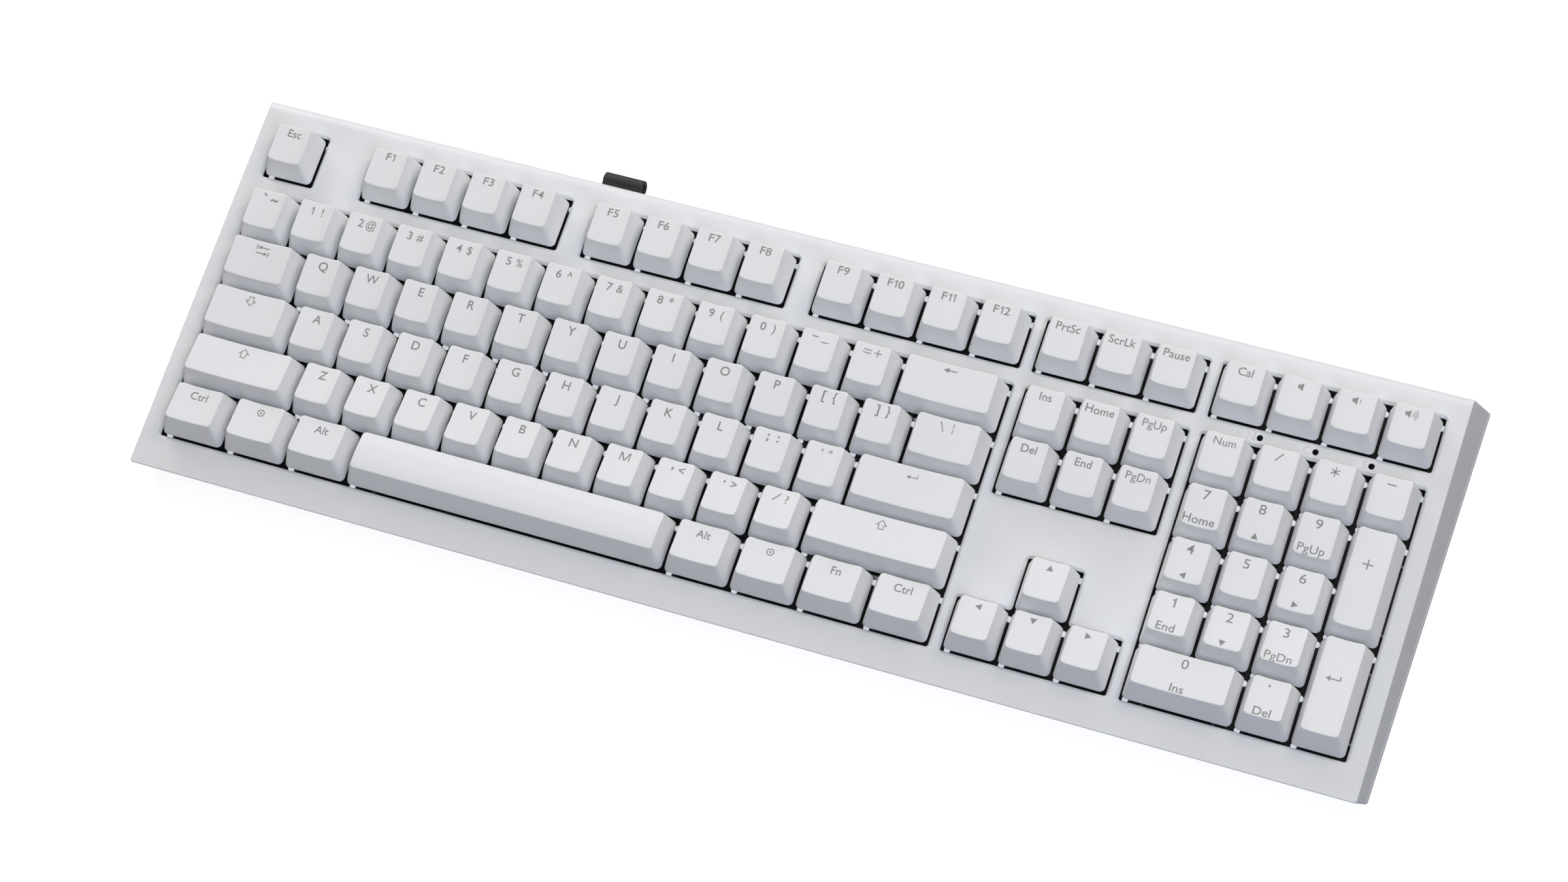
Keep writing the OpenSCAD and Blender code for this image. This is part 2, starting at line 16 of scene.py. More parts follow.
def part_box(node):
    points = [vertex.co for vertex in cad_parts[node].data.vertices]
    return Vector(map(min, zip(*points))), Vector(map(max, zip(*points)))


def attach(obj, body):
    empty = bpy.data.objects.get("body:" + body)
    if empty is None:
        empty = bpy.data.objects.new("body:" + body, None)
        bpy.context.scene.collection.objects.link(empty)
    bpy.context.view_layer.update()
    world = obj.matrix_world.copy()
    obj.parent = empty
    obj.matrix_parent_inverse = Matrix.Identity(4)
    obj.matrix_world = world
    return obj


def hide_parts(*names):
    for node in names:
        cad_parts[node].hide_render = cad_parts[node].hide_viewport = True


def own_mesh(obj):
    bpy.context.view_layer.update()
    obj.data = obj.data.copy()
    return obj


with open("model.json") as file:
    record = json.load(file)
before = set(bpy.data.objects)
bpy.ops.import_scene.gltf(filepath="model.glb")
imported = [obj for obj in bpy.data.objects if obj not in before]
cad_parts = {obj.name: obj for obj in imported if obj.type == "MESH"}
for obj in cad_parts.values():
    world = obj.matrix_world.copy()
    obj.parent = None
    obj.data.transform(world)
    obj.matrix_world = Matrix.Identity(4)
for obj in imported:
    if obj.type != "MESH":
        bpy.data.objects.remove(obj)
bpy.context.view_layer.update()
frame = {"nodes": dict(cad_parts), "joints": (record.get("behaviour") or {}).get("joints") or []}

MM = 0.001

# ---------------------------------------------------------------- deck frame
# A key presses along the deck's normal, which gives the tilt.
press = next(j for j in frame["joints"] if j["name"] == "key_q_press")
TILT = math.atan2(press["axis"][1], -press["axis"][2])
SIN, COS = math.sin(TILT), math.cos(TILT)

PITCH = 19.05
ROW_GAP = 6.6                           # between the number row and the function row
# front of each row, the function row first
ROW_Y = [5 * PITCH + ROW_GAP, 4 * PITCH, 3 * PITCH, 2 * PITCH, PITCH, 0.0]
GAP_Y = 5 * PITCH + ROW_GAP / 2         # middle of that gap
FIELD = 22.5 * PITCH                    # width of the key field

DECK_TOP, DECK_UNDER = 1.0, -1.2
HALF_WIDTH = 221.5                      # at the deck
Y_FRONT, Y_REAR = -12.6, 6 * PITCH + ROW_GAP + 9.1
FRONT_LEAN, REAR_LEAN = 4.6, 7.5        # y shift of the walls from deck to base
FLARE = math.tan(math.radians(6.2))     # outward slope of the side walls
BASE_FRONT_Y, BASE_FRONT_Z = Y_FRONT + FRONT_LEAN, -16.4
BASE_REAR_Y = Y_REAR + REAR_LEAN
BOARD_Z = -11.0                         # circuit board

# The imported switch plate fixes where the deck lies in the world.
PLATE_FRONT, PLATE_TOP, PLATE_BOTTOM = -1, -6, -7.5
plate_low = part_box("switch_plate")[0]
DECK_Y = plate_low.y / MM - PLATE_FRONT * COS + PLATE_TOP * SIN
DECK_Z = plate_low.z / MM - PLATE_FRONT * SIN - PLATE_BOTTOM * COS


def world_point(x, y, z):
    """Deck millimetres to world metres."""
    return Vector((x * MM, (DECK_Y + y * COS - z * SIN) * MM, (DECK_Z + y * SIN + z * COS) * MM))


def base_z(y):
    """Deck height of the level underside of the case."""
    return BASE_FRONT_Z - math.tan(TILT) * (y - BASE_FRONT_Y)


# ---------------------------------------------------------------- materials
def scaled(color, factor):
    return tuple(min(1, c * factor) for c in color)


class Shader:
    """Short-hand for building one procedural material."""

    def __init__(self, name, base, roughness, metallic=0.0):
        self.material = bpy.data.materials.new(name)
        self.material.use_nodes = True
        self.tree = self.material.node_tree
        self.nodes = self.tree.nodes
        self.inputs = self.nodes["Principled BSDF"].inputs
        self.inputs["Base Color"].default_value = (*base, 1)
        self.inputs["Roughness"].default_value = roughness
        self.inputs["Metallic"].default_value = metallic
        self.place = self.nodes.new("ShaderNodeTexCoord").outputs["Object"]

    def link(self, source, target):
        self.tree.links.new(source, target)

    def noise(self, scale, detail=3.0, roughness=0.55, stretch=None):
        node = self.nodes.new("ShaderNodeTexNoise")
        node.inputs["Scale"].default_value = scale
        node.inputs["Detail"].default_value = detail
        node.inputs["Roughness"].default_value = roughness
        place = self.place
        if stretch:
            mapping = self.nodes.new("ShaderNodeMapping")
            mapping.inputs["Scale"].default_value = stretch
            self.link(place, mapping.inputs["Vector"])
            place = mapping.outputs["Vector"]
        self.link(place, node.inputs["Vector"])
        return node.outputs["Fac"]

    def remap(self, value, low, high, from_low=0.3, from_high=0.7):
        node = self.nodes.new("ShaderNodeMapRange")
        node.inputs["From Min"].default_value = from_low
        node.inputs["From Max"].default_value = from_high
        node.inputs["To Min"].default_value = low
        node.inputs["To Max"].default_value = high
        self.link(value, node.inputs["Value"])
        return node.outputs["Result"]

    def mix(self, factor, first, second):
        """Mix two colours, each a tuple or a socket."""
        node = self.nodes.new("ShaderNodeMix")
        node.data_type = "RGBA"
        self.link(factor, node.inputs["Factor"])
        for i, color in ((6, first), (7, second)):      # the RGBA sockets A and B
            if isinstance(color, tuple):
                node.inputs[i].default_value = (*color, 1)
            else:
                self.link(color, node.inputs[i])
        return node.outputs[2]                          # the RGBA result

    def math(self, operation, first, second):
        node = self.nodes.new("ShaderNodeMath")
        node.operation = operation
        for i, value in enumerate((first, second)):
            if isinstance(value, (int, float)):
                node.inputs[i].default_value = value
            else:
                self.link(value, node.inputs[i])
        return node.outputs[0]

    def bump(self, height, strength, distance):
        node = self.nodes.new("ShaderNodeBump")
        node.inputs["Strength"].default_value = strength
        node.inputs["Distance"].default_value = distance
        self.link(height, node.inputs["Height"])
        self.link(node.outputs["Normal"], self.inputs["Normal"])

    def edges(self):
        """1 on convex edges, 0 elsewhere."""
        geometry = self.nodes.new("ShaderNodeNewGeometry")
        return self.remap(geometry.outputs["Pointiness"], 0.0, 1.0, from_low=0.52, from_high=0.60)


def plastic(name, base, roughness, grain, wear=0.035, speck=0.012, bump=0.22):
    """Grained plastic with a slow colour drift and edges rubbed smoother.

    grain is the noise scale, wear the paling of edges, speck the contrast of the grain.
    """
    s = Shader(name, base, roughness)
    fine = s.noise(grain, detail=4.0, roughness=0.6)
    slow = s.noise(9.0, detail=2.0)
    coarse = s.noise(grain * 0.21, detail=2.0)
    color = s.mix(s.remap(fine, 0.0, 1.0), scaled(base, 1 - speck * 2.2), scaled(base, 1 + speck))
    color = s.mix(s.remap(slow, 0.0, 0.4), color, scaled(base, 0.985))
    edge = s.edges()
    color = s.mix(s.math("MULTIPLY", edge, wear * 8), color, scaled(base, 1 + wear))
    s.link(color, s.inputs["Base Color"])
    rough = s.remap(slow, roughness - 0.03, roughness + 0.04)
    rough = s.math("SUBTRACT", rough, s.math("MULTIPLY", edge, 0.08))
    s.link(rough, s.inputs["Roughness"])
    height = s.math("ADD", s.math("MULTIPLY", coarse, 0.45), fine)
    s.bump(height, strength=bump, distance=0.00003)
    return s.material


def metal(name, base, roughness, stretch, bump=0.12, metallic=1.0):
    """Metal with a fine grain drawn out by stretch, and patchy gloss."""
    s = Shader(name, base, roughness, metallic)
    grain = s.noise(400.0, detail=4.0, roughness=0.6, stretch=stretch)
    patches = s.noise(30.0, detail=3.0)
    s.link(s.mix(s.remap(grain, 0.0, 1.0), scaled(base, 0.86), base), s.inputs["Base Color"])
    s.link(s.remap(patches, roughness - 0.08, roughness + 0.1), s.inputs["Roughness"])
    s.bump(grain, strength=bump, distance=0.00002)
    return s.material


def rubber(name, base, roughness):
    s = Shader(name, base, roughness)
    grain = s.noise(2600.0, detail=4.0, roughness=0.65)
    patches = s.noise(60.0, detail=3.0)
    color = s.mix(s.remap(patches, 0.0, 1.0), scaled(base, 0.8), scaled(base, 1.25))
    s.link(color, s.inputs["Base Color"])
    s.link(s.remap(patches, roughness - 0.05, roughness + 0.08), s.inputs["Roughness"])
    s.bump(grain, strength=0.35, distance=0.00004)
    return s.material


def board():
    """Dark green board with a net of paler, raised lines."""
    s = Shader("board_mat", base=(0.012, 0.035, 0.022), roughness=0.4)
    net = s.nodes.new("ShaderNodeTexVoronoi")
    net.feature = "DISTANCE_TO_EDGE"
    net.inputs["Scale"].default_value = 260.0
    s.link(s.place, net.inputs["Vector"])
    lines = s.remap(net.outputs["Distance"], 1.0, 0.0, from_low=0.02, from_high=0.05)
    s.link(s.mix(lines, (0.010, 0.034, 0.02), (0.02, 0.06, 0.035)), s.inputs["Base Color"])
    s.bump(lines, strength=0.3, distance=0.00003)
    return s.material


def lamp_lens():
    s = Shader("lamp_lens_mat", base=(0.012, 0.02, 0.035), roughness=0.25)
    s.link(s.remap(s.noise(500.0, detail=2.0), 0.12, 0.22), s.inputs["Roughness"])
    s.inputs["Coat Weight"].default_value = 0.4
    return s.material


def lamp_tube():
    s = Shader("lamp_tube_mat", base=(0.01, 0.012, 0.016), roughness=0.5)
    s.link(s.remap(s.noise(700.0), 0.45, 0.6), s.inputs["Roughness"])
    return s.material


def painted_glow_peg_plastic():
    """Pale plastic with a painted glow: emission that stands in for spots of light seen between the
    keycaps, though the pegs hold no lamp.
    """
    material = plastic("painted_glow_stud_mat", (0.78, 0.78, 0.78), roughness=0.35, grain=2600.0)
    inputs = material.node_tree.nodes["Principled BSDF"].inputs
    # painted light: a faint bluish glow on pegs that hold no lamp
    inputs["Emission Color"].default_value = (0.9, 0.93, 1.0, 1)
    inputs["Emission Strength"].default_value = 0.55
    return material


CASE = plastic("case_plastic_mat", (0.705, 0.713, 0.735), roughness=0.46, grain=3300.0)
KEYCAP = plastic("keycap_plastic_mat", (0.745, 0.752, 0.772), roughness=0.50, grain=4200.0,
                 speck=0.010, bump=0.18)
LEGEND = plastic("legend_ink_mat", (0.255, 0.255, 0.258), roughness=0.55, grain=3000.0,
                 wear=0.0, speck=0.05, bump=0.1)
SWITCH = plastic("switch_plastic_mat", (0.022, 0.022, 0.024), roughness=0.42, grain=2600.0)
STEM = plastic("stem_plastic_mat", (0.16, 0.075, 0.035), roughness=0.38, grain=2600.0)
CHIP = plastic("chip_plastic_mat", (0.02, 0.02, 0.02), roughness=0.6, grain=1800.0)
FOOT = plastic("foot_plastic_mat", (0.66, 0.67, 0.69), roughness=0.45, grain=3000.0)
PLATE = metal("plate_paint_mat", (0.012, 0.012, 0.013), roughness=0.5, stretch=(1, 1, 1),
              bump=0.3, metallic=0.15)
SPRING = metal("spring_steel_mat", (0.6, 0.58, 0.52), roughness=0.25, stretch=(1, 1, 12))
CONTACT = metal("contact_metal_mat", (0.65, 0.45, 0.18), roughness=0.3, stretch=(1, 8, 1))
WIRE = metal("wire_steel_mat", (0.55, 0.55, 0.57), roughness=0.28, stretch=(8, 1, 1))
SOCKET = metal("socket_steel_mat", (0.55, 0.55, 0.57), roughness=0.3, stretch=(1, 10, 1))
SCREW = metal("screw_steel_mat", (0.16, 0.16, 0.17), roughness=0.35, stretch=(4, 4, 1))
FOOT_RUBBER = rubber("foot_rubber_mat", (0.045, 0.045, 0.048), roughness=0.7)
# pale pegs with a painted glow, standing in for spots of light between the keycaps
PAINTED_GLOW_PEG = painted_glow_peg_plastic()
TAG = rubber("tag_rubber_mat", (0.012, 0.012, 0.013), roughness=0.55)
BOARD, LAMP, TUBE = board(), lamp_lens(), lamp_tube()
LAMP_MARK = plastic("lamp_mark_mat", (0.60, 0.607, 0.625), roughness=0.55, grain=1400, bump=0.03)


# ---------------------------------------------------------------- outlines
def circle(center_x, center_y, radius, count=32):
    return [(center_x + radius * math.cos(2 * math.pi * i / count),
             center_y + radius * math.sin(2 * math.pi * i / count)) for i in range(count)]


def arc(center_x, center_y, radius, start, end, steps):
    """Points along an arc, both ends included, angles in degrees."""
    angles = [math.radians(start + (end - start) * k / steps) for k in range(steps + 1)]
    return [(center_x + radius * math.cos(a), center_y + radius * math.sin(a)) for a in angles]


def rounded_rect(x0, x1, y0, y1, radius, across, along, corner=5, rear_radius=None):
    """Rounded rectangle, counter-clockwise from the front left.

    across and along are the steps of the straight runs, corner the points inside each arc.
    """
    limit = min((x1 - x0) / 2 - 0.01, (y1 - y0) / 2 - 0.01)
    front = max(0.02, min(radius, limit))
    rear = max(0.02, min(rear_radius or radius, limit))
    points = []

    def run(a, b, steps):
        for i in range(steps + 1):
            t = i / steps
            points.append((a[0] + (b[0] - a[0]) * t, a[1] + (b[1] - a[1]) * t))

    def turn(x, y, r, start):
        for i in range(1, corner + 1):
            a = math.radians(start + 90 * i / (corner + 1))
            points.append((x + r * math.cos(a), y + r * math.sin(a)))

    run((x0 + front, y0), (x1 - front, y0), across)
    turn(x1 - front, y0 + front, front, -90)
    run((x1, y0 + front), (x1, y1 - rear), along)
    turn(x1 - rear, y1 - rear, rear, 0)
    run((x1 - rear, y1), (x0 + rear, y1), across)
    turn(x0 + rear, y1 - rear, rear, 90)
    run((x0, y1 - rear), (x0, y0 + front), along)
    turn(x0 + front, y0 + front, front, 180)
    return points


def rounded_poly(corners, grow, convex_radius, concave_radius, steps=6):
    """Rounded polygon from counter-clockwise corners, moved outward by grow."""
    count = len(corners)
    arcs = []
    for i in range(count):
        point, before = Vector(corners[i]), Vector(corners[i - 1])
        after = Vector(corners[(i + 1) % count])
        way_in, way_out = (point - before).normalized(), (after - point).normalized()
        convex = way_in.x * way_out.y - way_in.y * way_out.x > 0
        normal_in = Vector((way_in.y, -way_in.x))
        normal_out = Vector((way_out.y, -way_out.x))
        moved = point + (normal_in + normal_out) * grow
        r = convex_radius if convex else max(0.05, concave_radius)
        start = moved - way_in * r
        end = moved + way_out * r
        center = start + (-normal_in if convex else normal_in) * r
        a0 = math.atan2(start.y - center.y, start.x - center.x)
        a1 = math.atan2(end.y - center.y, end.x - center.x)
        sweep = (a1 - a0 + math.pi) % (2 * math.pi) - math.pi
        for k in range(steps + 1):
            t = a0 + sweep * k / steps
            arcs.append((center.x + r * math.cos(t), center.y + r * math.sin(t)))
    # three extra points along each straight run
    points = []
    for i, point in enumerate(arcs):
        points.append(point)
        if (i + 1) % (steps + 1) == 0:
            a, b = Vector(point), Vector(arcs[(i + 1) % len(arcs)])
            points += [tuple(a.lerp(b, k / 4)) for k in (1, 2, 3)]
    return points


def normal_at(path, i, closed=False):
    """Right-hand normal of a path at point i: outward when it runs counter-clockwise."""
    count = len(path)
    before = path[i - 1] if closed else path[max(0, i - 1)]
    after = path[(i + 1) % count] if closed else path[min(count - 1, i + 1)]
    way = (Vector(after) - Vector(before)).normalized()
    return Vector((way.y, -way.x))


def at_height(points, z):
    return [Vector((x, y, z)) for x, y in points]


def quad_bezier(start, control, end, t):
    return start * (1 - t) ** 2 + control * 2 * t * (1 - t) + end * t * t


# ---------------------------------------------------------------- mesh tools
def add_ring(bm, points):
    return [bm.verts.new(p) for p in points]


def bridge(bm, a, b):
    count = len(a)
    for i in range(count):
        j = (i + 1) % count
        bm.faces.new((a[i], a[j], b[j], b[i]))


def add_loft(bm, sections, caps=True):
    """Skin through equal rings of points; returns the rings of vertices."""
    rings = [add_ring(bm, s) for s in sections]
    for a, b in zip(rings, rings[1:]):
        bridge(bm, a, b)
    if caps:
        bm.faces.new(rings[0])
        bm.faces.new(rings[-1])
    return rings


def loft(sections):
    """Closed solid of its own through a list of equal rings."""
    bm = bmesh.new()
    add_loft(bm, sections)
    bmesh.ops.recalc_face_normals(bm, faces=bm.faces)
    return bm


def fill_between(bm, rings, normal):
    """Flat face bounded by several rings."""
    edges = []
    for ring in rings:
        edges += [bm.edges.get((ring[i], ring[(i + 1) % len(ring)])) for i in range(len(ring))]
    bmesh.ops.triangle_fill(bm, use_beauty=True, use_dissolve=False, edges=edges, normal=normal)


def add_bored_prism(bm, outline, bore, low, high, bore_top):
    """Upright prism with a blind bore from below."""
    outer_low, outer_high = (add_ring(bm, at_height(outline, z)) for z in (low, high))
    bore_low, bore_high = (add_ring(bm, at_height(bore, z)) for z in (low, bore_top))
    bridge(bm, outer_low, outer_high)
    bm.faces.new(outer_high)
    bridge(bm, bore_high, bore_low)
    bm.faces.new(bore_high)
    fill_between(bm, [outer_low, bore_low], (0, 0, -1))


def add_block(bm, low, high, bevel):
    """Box between two corners with chamfered edges."""
    verts = bmesh.ops.create_cube(bm, size=1.0)["verts"]
    for v in verts:
        v.co = Vector(((low[i] + high[i]) / 2 + v.co[i] * (high[i] - low[i]) for i in range(3)))
    edges = list({e for v in verts for e in v.link_edges})
    bmesh.ops.bevel(bm, geom=edges, offset=bevel, segments=1, affect="EDGES", profile=0.5,
                    clamp_overlap=True)


def y_bar(x0, x1, z0, z1, radius, y0, y1):
    """Rounded bar along Y."""
    points = rounded_rect(x0, x1, z0, z1, radius, 2, 2)
    return loft([[(x, y, z) for x, z in points] for y in (y0, y1)])


def z_bar(x0, x1, y0, y1, radius, z0, z1):
    """Rounded bar along Z."""
    points = rounded_rect(x0, x1, y0, y1, radius, 2, 2)
    return loft([at_height(points, z) for z in (z0, z1)])


def turned(profile, center, count=32, axis="z"):
    """Solid of revolution from [(radius, distance along the axis)], with flat ends."""
    rings = []
    for radius, along in profile:
        points = circle(0, 0, radius, count)
        if axis == "z":
            rings.append([(center[0] + a, center[1] + b, center[2] + along) for a, b in points])
        else:
            rings.append([(center[0] + along, center[1] + a, center[2] + b) for a, b in points])
    return loft(rings)


def append_mesh(target, source):
    """Move everything in one bmesh into another."""
    mesh = bpy.data.meshes.new("moved")
    source.to_mesh(mesh)
    source.free()
    target.from_mesh(mesh)
    bpy.data.meshes.remove(mesh)


def join(parts):
    joined = bmesh.new()
    for part in parts:
        append_mesh(joined, part)
    return joined


def new_object(name, data):
    ob = bpy.data.objects.new(name, data)
    bpy.context.scene.collection.objects.link(ob)
    return ob


def mesh_object(bm, name):
    bmesh.ops.recalc_face_normals(bm, faces=bm.faces)
    mesh = bpy.data.meshes.new(name)
    bm.to_mesh(mesh)
    bm.free()
    return new_object(name, mesh)


def evaluated_mesh(ob):
    bpy.context.view_layer.update()
    graph = bpy.context.evaluated_depsgraph_get()
    return bpy.data.meshes.new_from_object(ob.evaluated_get(graph))


def remove_with_mesh(ob):
    mesh = ob.data
    bpy.data.objects.remove(ob)
    bpy.data.meshes.remove(mesh)


def cut(bm, tools, operation="DIFFERENCE"):
    """Boolean of a bmesh with each of a list of closed bmeshes."""
    ob = mesh_object(bm, "part")
    for tool_bm in tools:
        tool = mesh_object(tool_bm, "tool")
        modifier = ob.modifiers.new("cut", "BOOLEAN")
        modifier.operation = operation
        modifier.solver = "EXACT"
        modifier.object = tool
        result = evaluated_mesh(ob)
        ob.modifiers.clear()
        old = ob.data
        ob.data = result
        bpy.data.meshes.remove(old)
        remove_with_mesh(tool)
    out = bmesh.new()
    out.from_mesh(ob.data)
    remove_with_mesh(ob)
    return out


def deck_to_world(bm):
    for v in bm.verts:
        v.co = world_point(*v.co)


def deck_to_mm(bm):
    """Deck frame to world axes, still in millimetres."""
    for v in bm.verts:
        v.co = world_point(*v.co) / MM


def mm_to_world(bm):
    for v in bm.verts:
        v.co = v.co * MM


def piece(name, bm, materials, body, smooth=True, even_normals=True, sharp=None,
          replaces=None):
    """One mesh object in world metres, riding on a body; sharp is an angle in degrees."""
    ob = mesh_object(bm, name)
    for material in materials:
        ob.data.materials.append(material)
    if smooth:
        ob.data.shade_smooth()
    if even_normals:
        modifier = ob.modifiers.new("even_normals", "WEIGHTED_NORMAL")
        modifier.keep_sharp = True
        modifier.weight = 80
    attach(ob, body)
    if sharp:
        ob.data.set_sharp_from_angle(angle=math.radians(sharp))
    if replaces:
        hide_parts(replaces)
    return ob


# ---------------------------------------------------------------- keycap shape
# Per row, the function row first: rear inset and height, front inset and height of the top face.
PROFILE = [(1.1, 10.4, 3.95, 10.0), (1.1, 10.4, 3.95, 10.0), (0.9, 10.3, 4.0, 9.6),
           (0.8, 9.2, 3.65, 9.5), (0.8, 8.6, 4.2, 10.6), (0.8, 8.8, 4.45, 10.6)]
SIDE_INSET = 3.25           # of the top face from the cell's sides
DISH = 1.15                 # depth of the hollow across the top face
DOME, DOME_DROP = 0.75, 0.35            # raised top of the space bar
SKIRT, SKIRT_Z = 0.5, 0.5               # inset and height of the lower rim
TOP_EDGE = 0.26             # rounding of the top face's edge
SPACE_POST, WIDE_POST = 50.0, 11.938    # offset of the outer posts


class Cap:
    """One key: its place and shape in deck millimetres, its body, name and marks."""

    def __init__(self, left, row, body, name, marks, wide, tall):
        self.body, self.name, self.marks = body, name, marks
        self.width, self.depth = wide * PITCH, tall * PITCH
        self.left, self.front = left * PITCH - FIELD / 2, ROW_Y[row]
        self.mid_x, self.mid_y = self.left + self.width / 2, self.front + self.depth / 2
        self.tall = tall > 1
        self.domed = wide > 6
        rear_inset, self.rear_z = PROFILE[row - 1 if self.tall else row][:2]
        self.face_front, self.front_z = PROFILE[row][2:]
        self.face_rear = self.depth - rear_inset
        self.chord = self.width - 2 * SIDE_INSET
        self.dish_radius = self.chord ** 2 / (8 * DISH) + DISH / 2
        if max(wide, tall) < 2:
            self.post_offset = 0
        else:
            self.post_offset = SPACE_POST if self.domed else WIDE_POST

    def plane(self, y):
        """Height of the sloping plane the top face is based on, y from the cell's front."""
        rise = self.rear_z - self.front_z
        return self.front_z + rise * (y - self.face_front) / (self.face_rear - self.face_front)

    def top(self, x, y):
        """Height of the top face at x, y from the cell's front left."""
        z = self.plane(y)
        if self.domed:
            middle = (self.face_front + self.face_rear) / 2
            half = (self.face_rear - self.face_front) / 2
            return z + DOME * (1 - min(1.0, ((y - middle) / half) ** 2)) - DOME_DROP
        dx = min(abs(x - self.width / 2), self.chord / 2)
        return z - DISH + self.dish_radius - math.sqrt(self.dish_radius ** 2 - dx * dx)

    def posts(self):
        """Places of the middle post and of the two outer ones on long keys."""
        x, y, offset = self.mid_x, self.mid_y, self.post_offset
        if not offset:
            return [(x, y)]
        if self.tall:
            return [(x, y), (x, y - offset), (x, y + offset)]
        return [(x, y), (x - offset, y), (x + offset, y)]


# ---------------------------------------------------------------- key layout
KEYS = []


def mark(what, style="symbol", shift=0.0):
    """A legend: text or the name of an icon, its style, and its shift to the right."""
    return what, style, shift


def key(left, row, body, name, *marks, wide=1, tall=1):
    """Left edge and size are in key pitches; row 0 is the function row."""
    KEYS.append(Cap(left, row, body, name, marks, wide, tall))


key(0, 0, "key_esc", "esc", mark("Esc", "word", 0.45))
for i in range(12):
    key((2, 6.5, 11)[i // 4] + i % 4, 0, "keys_function", f"f{i + 1}", mark(f"F{i + 1}", "function"))
for i, (low, high) in enumerate(zip("`1234567890", "~!@#$%^&*()")):
    key(i, 1, "keys_number_row", f"number_{i}",
        mark(low, "number", -2.0), mark(high, "number", 2.0))
for i, low, high in ((11, "minus", "under"), (12, "equals", "plus_small")):
    key(i, 1, "keys_number_row", f"number_{i}",
        mark(low, "bracket", -2.2), mark(high, "bracket", 1.6))
key(13, 1, "key_backspace", "backspace", mark("arrow_left"), wide=2)
for left, row, letters in ((1.5, 2, "qwertyuiop"), (1.75, 3, "asdfghjkl"), (2.25, 4, "zxcvbnm")):
    for i, letter in enumerate(letters):
        key(left + i, row, f"key_{letter}", letter, mark(letter.upper(), "letter"))
for left, row, name, wide, low, high in (
        (11.5, 2, "bracket_left", 1, ("[", "bracket", -2.1), ("{", "bracket", 1.7)),
        (12.5, 2, "bracket_right", 1, ("]", "bracket", -1.8), ("}", "bracket", 2.0)),
        (13.5, 2, "backslash", 1.5, ("backslash", "bracket", -2.6), ("broken_bar", "bracket", 1.3)),
        (10.75, 3, "semicolon", 1, (";", "colon", -2.0), (":", "colon", 1.6)),
        (11.75, 3, "quote", 1, ("'", "number", -1.5), ('"', "number", 1.5)),
        (9.25, 4, "comma", 1, (",", "comma", -1.8), ("<", "angle", 1.6)),
        (10.25, 4, "period", 1, ("dot", "dot", -1.9), (">", "angle", 1.6)),
        (11.25, 4, "slash", 1, ("slash", "angle", -1.9), ("?", "number", 1.9))):
    key(left, row, "keys_punctuation", name, mark(*low), mark(*high), wide=wide)
key(0, 2, "keys_modifier", "tab", mark("tab"), wide=1.5)
key(0, 3, "keys_modifier", "caps_lock", mark("hollow_down"), wide=1.75)
key(0, 4, "key_left_shift", "left_shift", mark("hollow_up"), wide=2.25)
key(12.25, 4, "key_right_shift", "right_shift", mark("hollow_up"), wide=2.75)
key(12.75, 3, "key_enter", "enter", mark("enter"), wide=2.25)
for left, name, what, style in (
        (0, "left_ctrl", "Ctrl", "modifier"), (1.25, "left_system", "ring", "symbol"),
        (2.5, "left_alt", "Alt", "modifier"), (10, "right_alt", "Alt", "modifier"),
        (11.25, "right_system", "ring", "symbol"), (12.5, "fn", "Fn", "modifier"),
        (13.75, "right_ctrl", "Ctrl", "modifier")):
    key(left, 5, "keys_modifier", name, mark(what, style), wide=1.25)
key(3.75, 5, "key_space", "space", wide=6.25)
for row, words in enumerate((("PrtSc", "ScrLk", "Pause"), ("Ins", "Home", "PgUp"),
                             ("Del", "End", "PgDn"))):
    for i, text in enumerate(words):
        key(15.25 + i, row, "keys_navigation", f"nav_{text.lower()}", mark(text, "word"))
for left, row, way in ((16.25, 4, "up"), (15.25, 5, "left"), (16.25, 5, "down"),
                       (17.25, 5, "right")):
    key(left, row, "keys_navigation", f"arrow_{way}", mark(f"tri_{way}", "triangle"))

PAD = "keys_numpad"
PAD_LEFT = 18.5
for i, (name, what, style) in enumerate((
        ("calculator", "Cal", "word"), ("mute", "speaker0", "symbol"),
        ("volume_down", "speaker1", "symbol"), ("volume_up", "speaker2", "symbol"))):
    key(PAD_LEFT + i, 0, PAD, name, mark(what, style))
key(PAD_LEFT, 1, PAD, "pad_num", mark("Num", "pad_num"))
for i, (name, what) in enumerate((("divide", "slash"), ("multiply", "star"), ("minus", "dash"))):
    key(PAD_LEFT + 1 + i, 1, PAD, f"pad_{name}", mark(what, "symbol", -0.6))
PAD_LOWER = {"7": ("Home", "pad_word"), "8": ("tri_up", "pad_arrow"), "9": ("PgUp", "pad_word"),
             "4": ("tri_left", "pad_arrow"), "6": ("tri_right", "pad_arrow"),
             "1": ("End", "pad_word"), "2": ("tri_down", "pad_arrow"), "3": ("PgDn", "pad_word")}
for row, digits in ((2, "789"), (3, "456"), (4, "123")):
    for i, digit in enumerate(digits):
        lower = [mark(*PAD_LOWER[digit])] if digit in PAD_LOWER else []
        key(PAD_LEFT + i, row, PAD, f"pad_{digit}", mark(digit, "pad_digit"), *lower)
key(18.5, 5, PAD, "pad_0", mark("0", "pad_digit"), mark("Ins", "pad_word"), wide=2)
key(20.5, 5, PAD, "pad_point", mark("dot", "triangle", -0.5), mark("Del", "pad_word"))
key(21.5, 3, PAD, "pad_plus", mark("plus", "pad_plus"), tall=2)
key(21.5, 5, PAD, "pad_enter", mark("enter", "pad_enter"), tall=2)

KEYS_OF = {}
for cap in KEYS:
    KEYS_OF.setdefault(cap.body, []).append(cap)


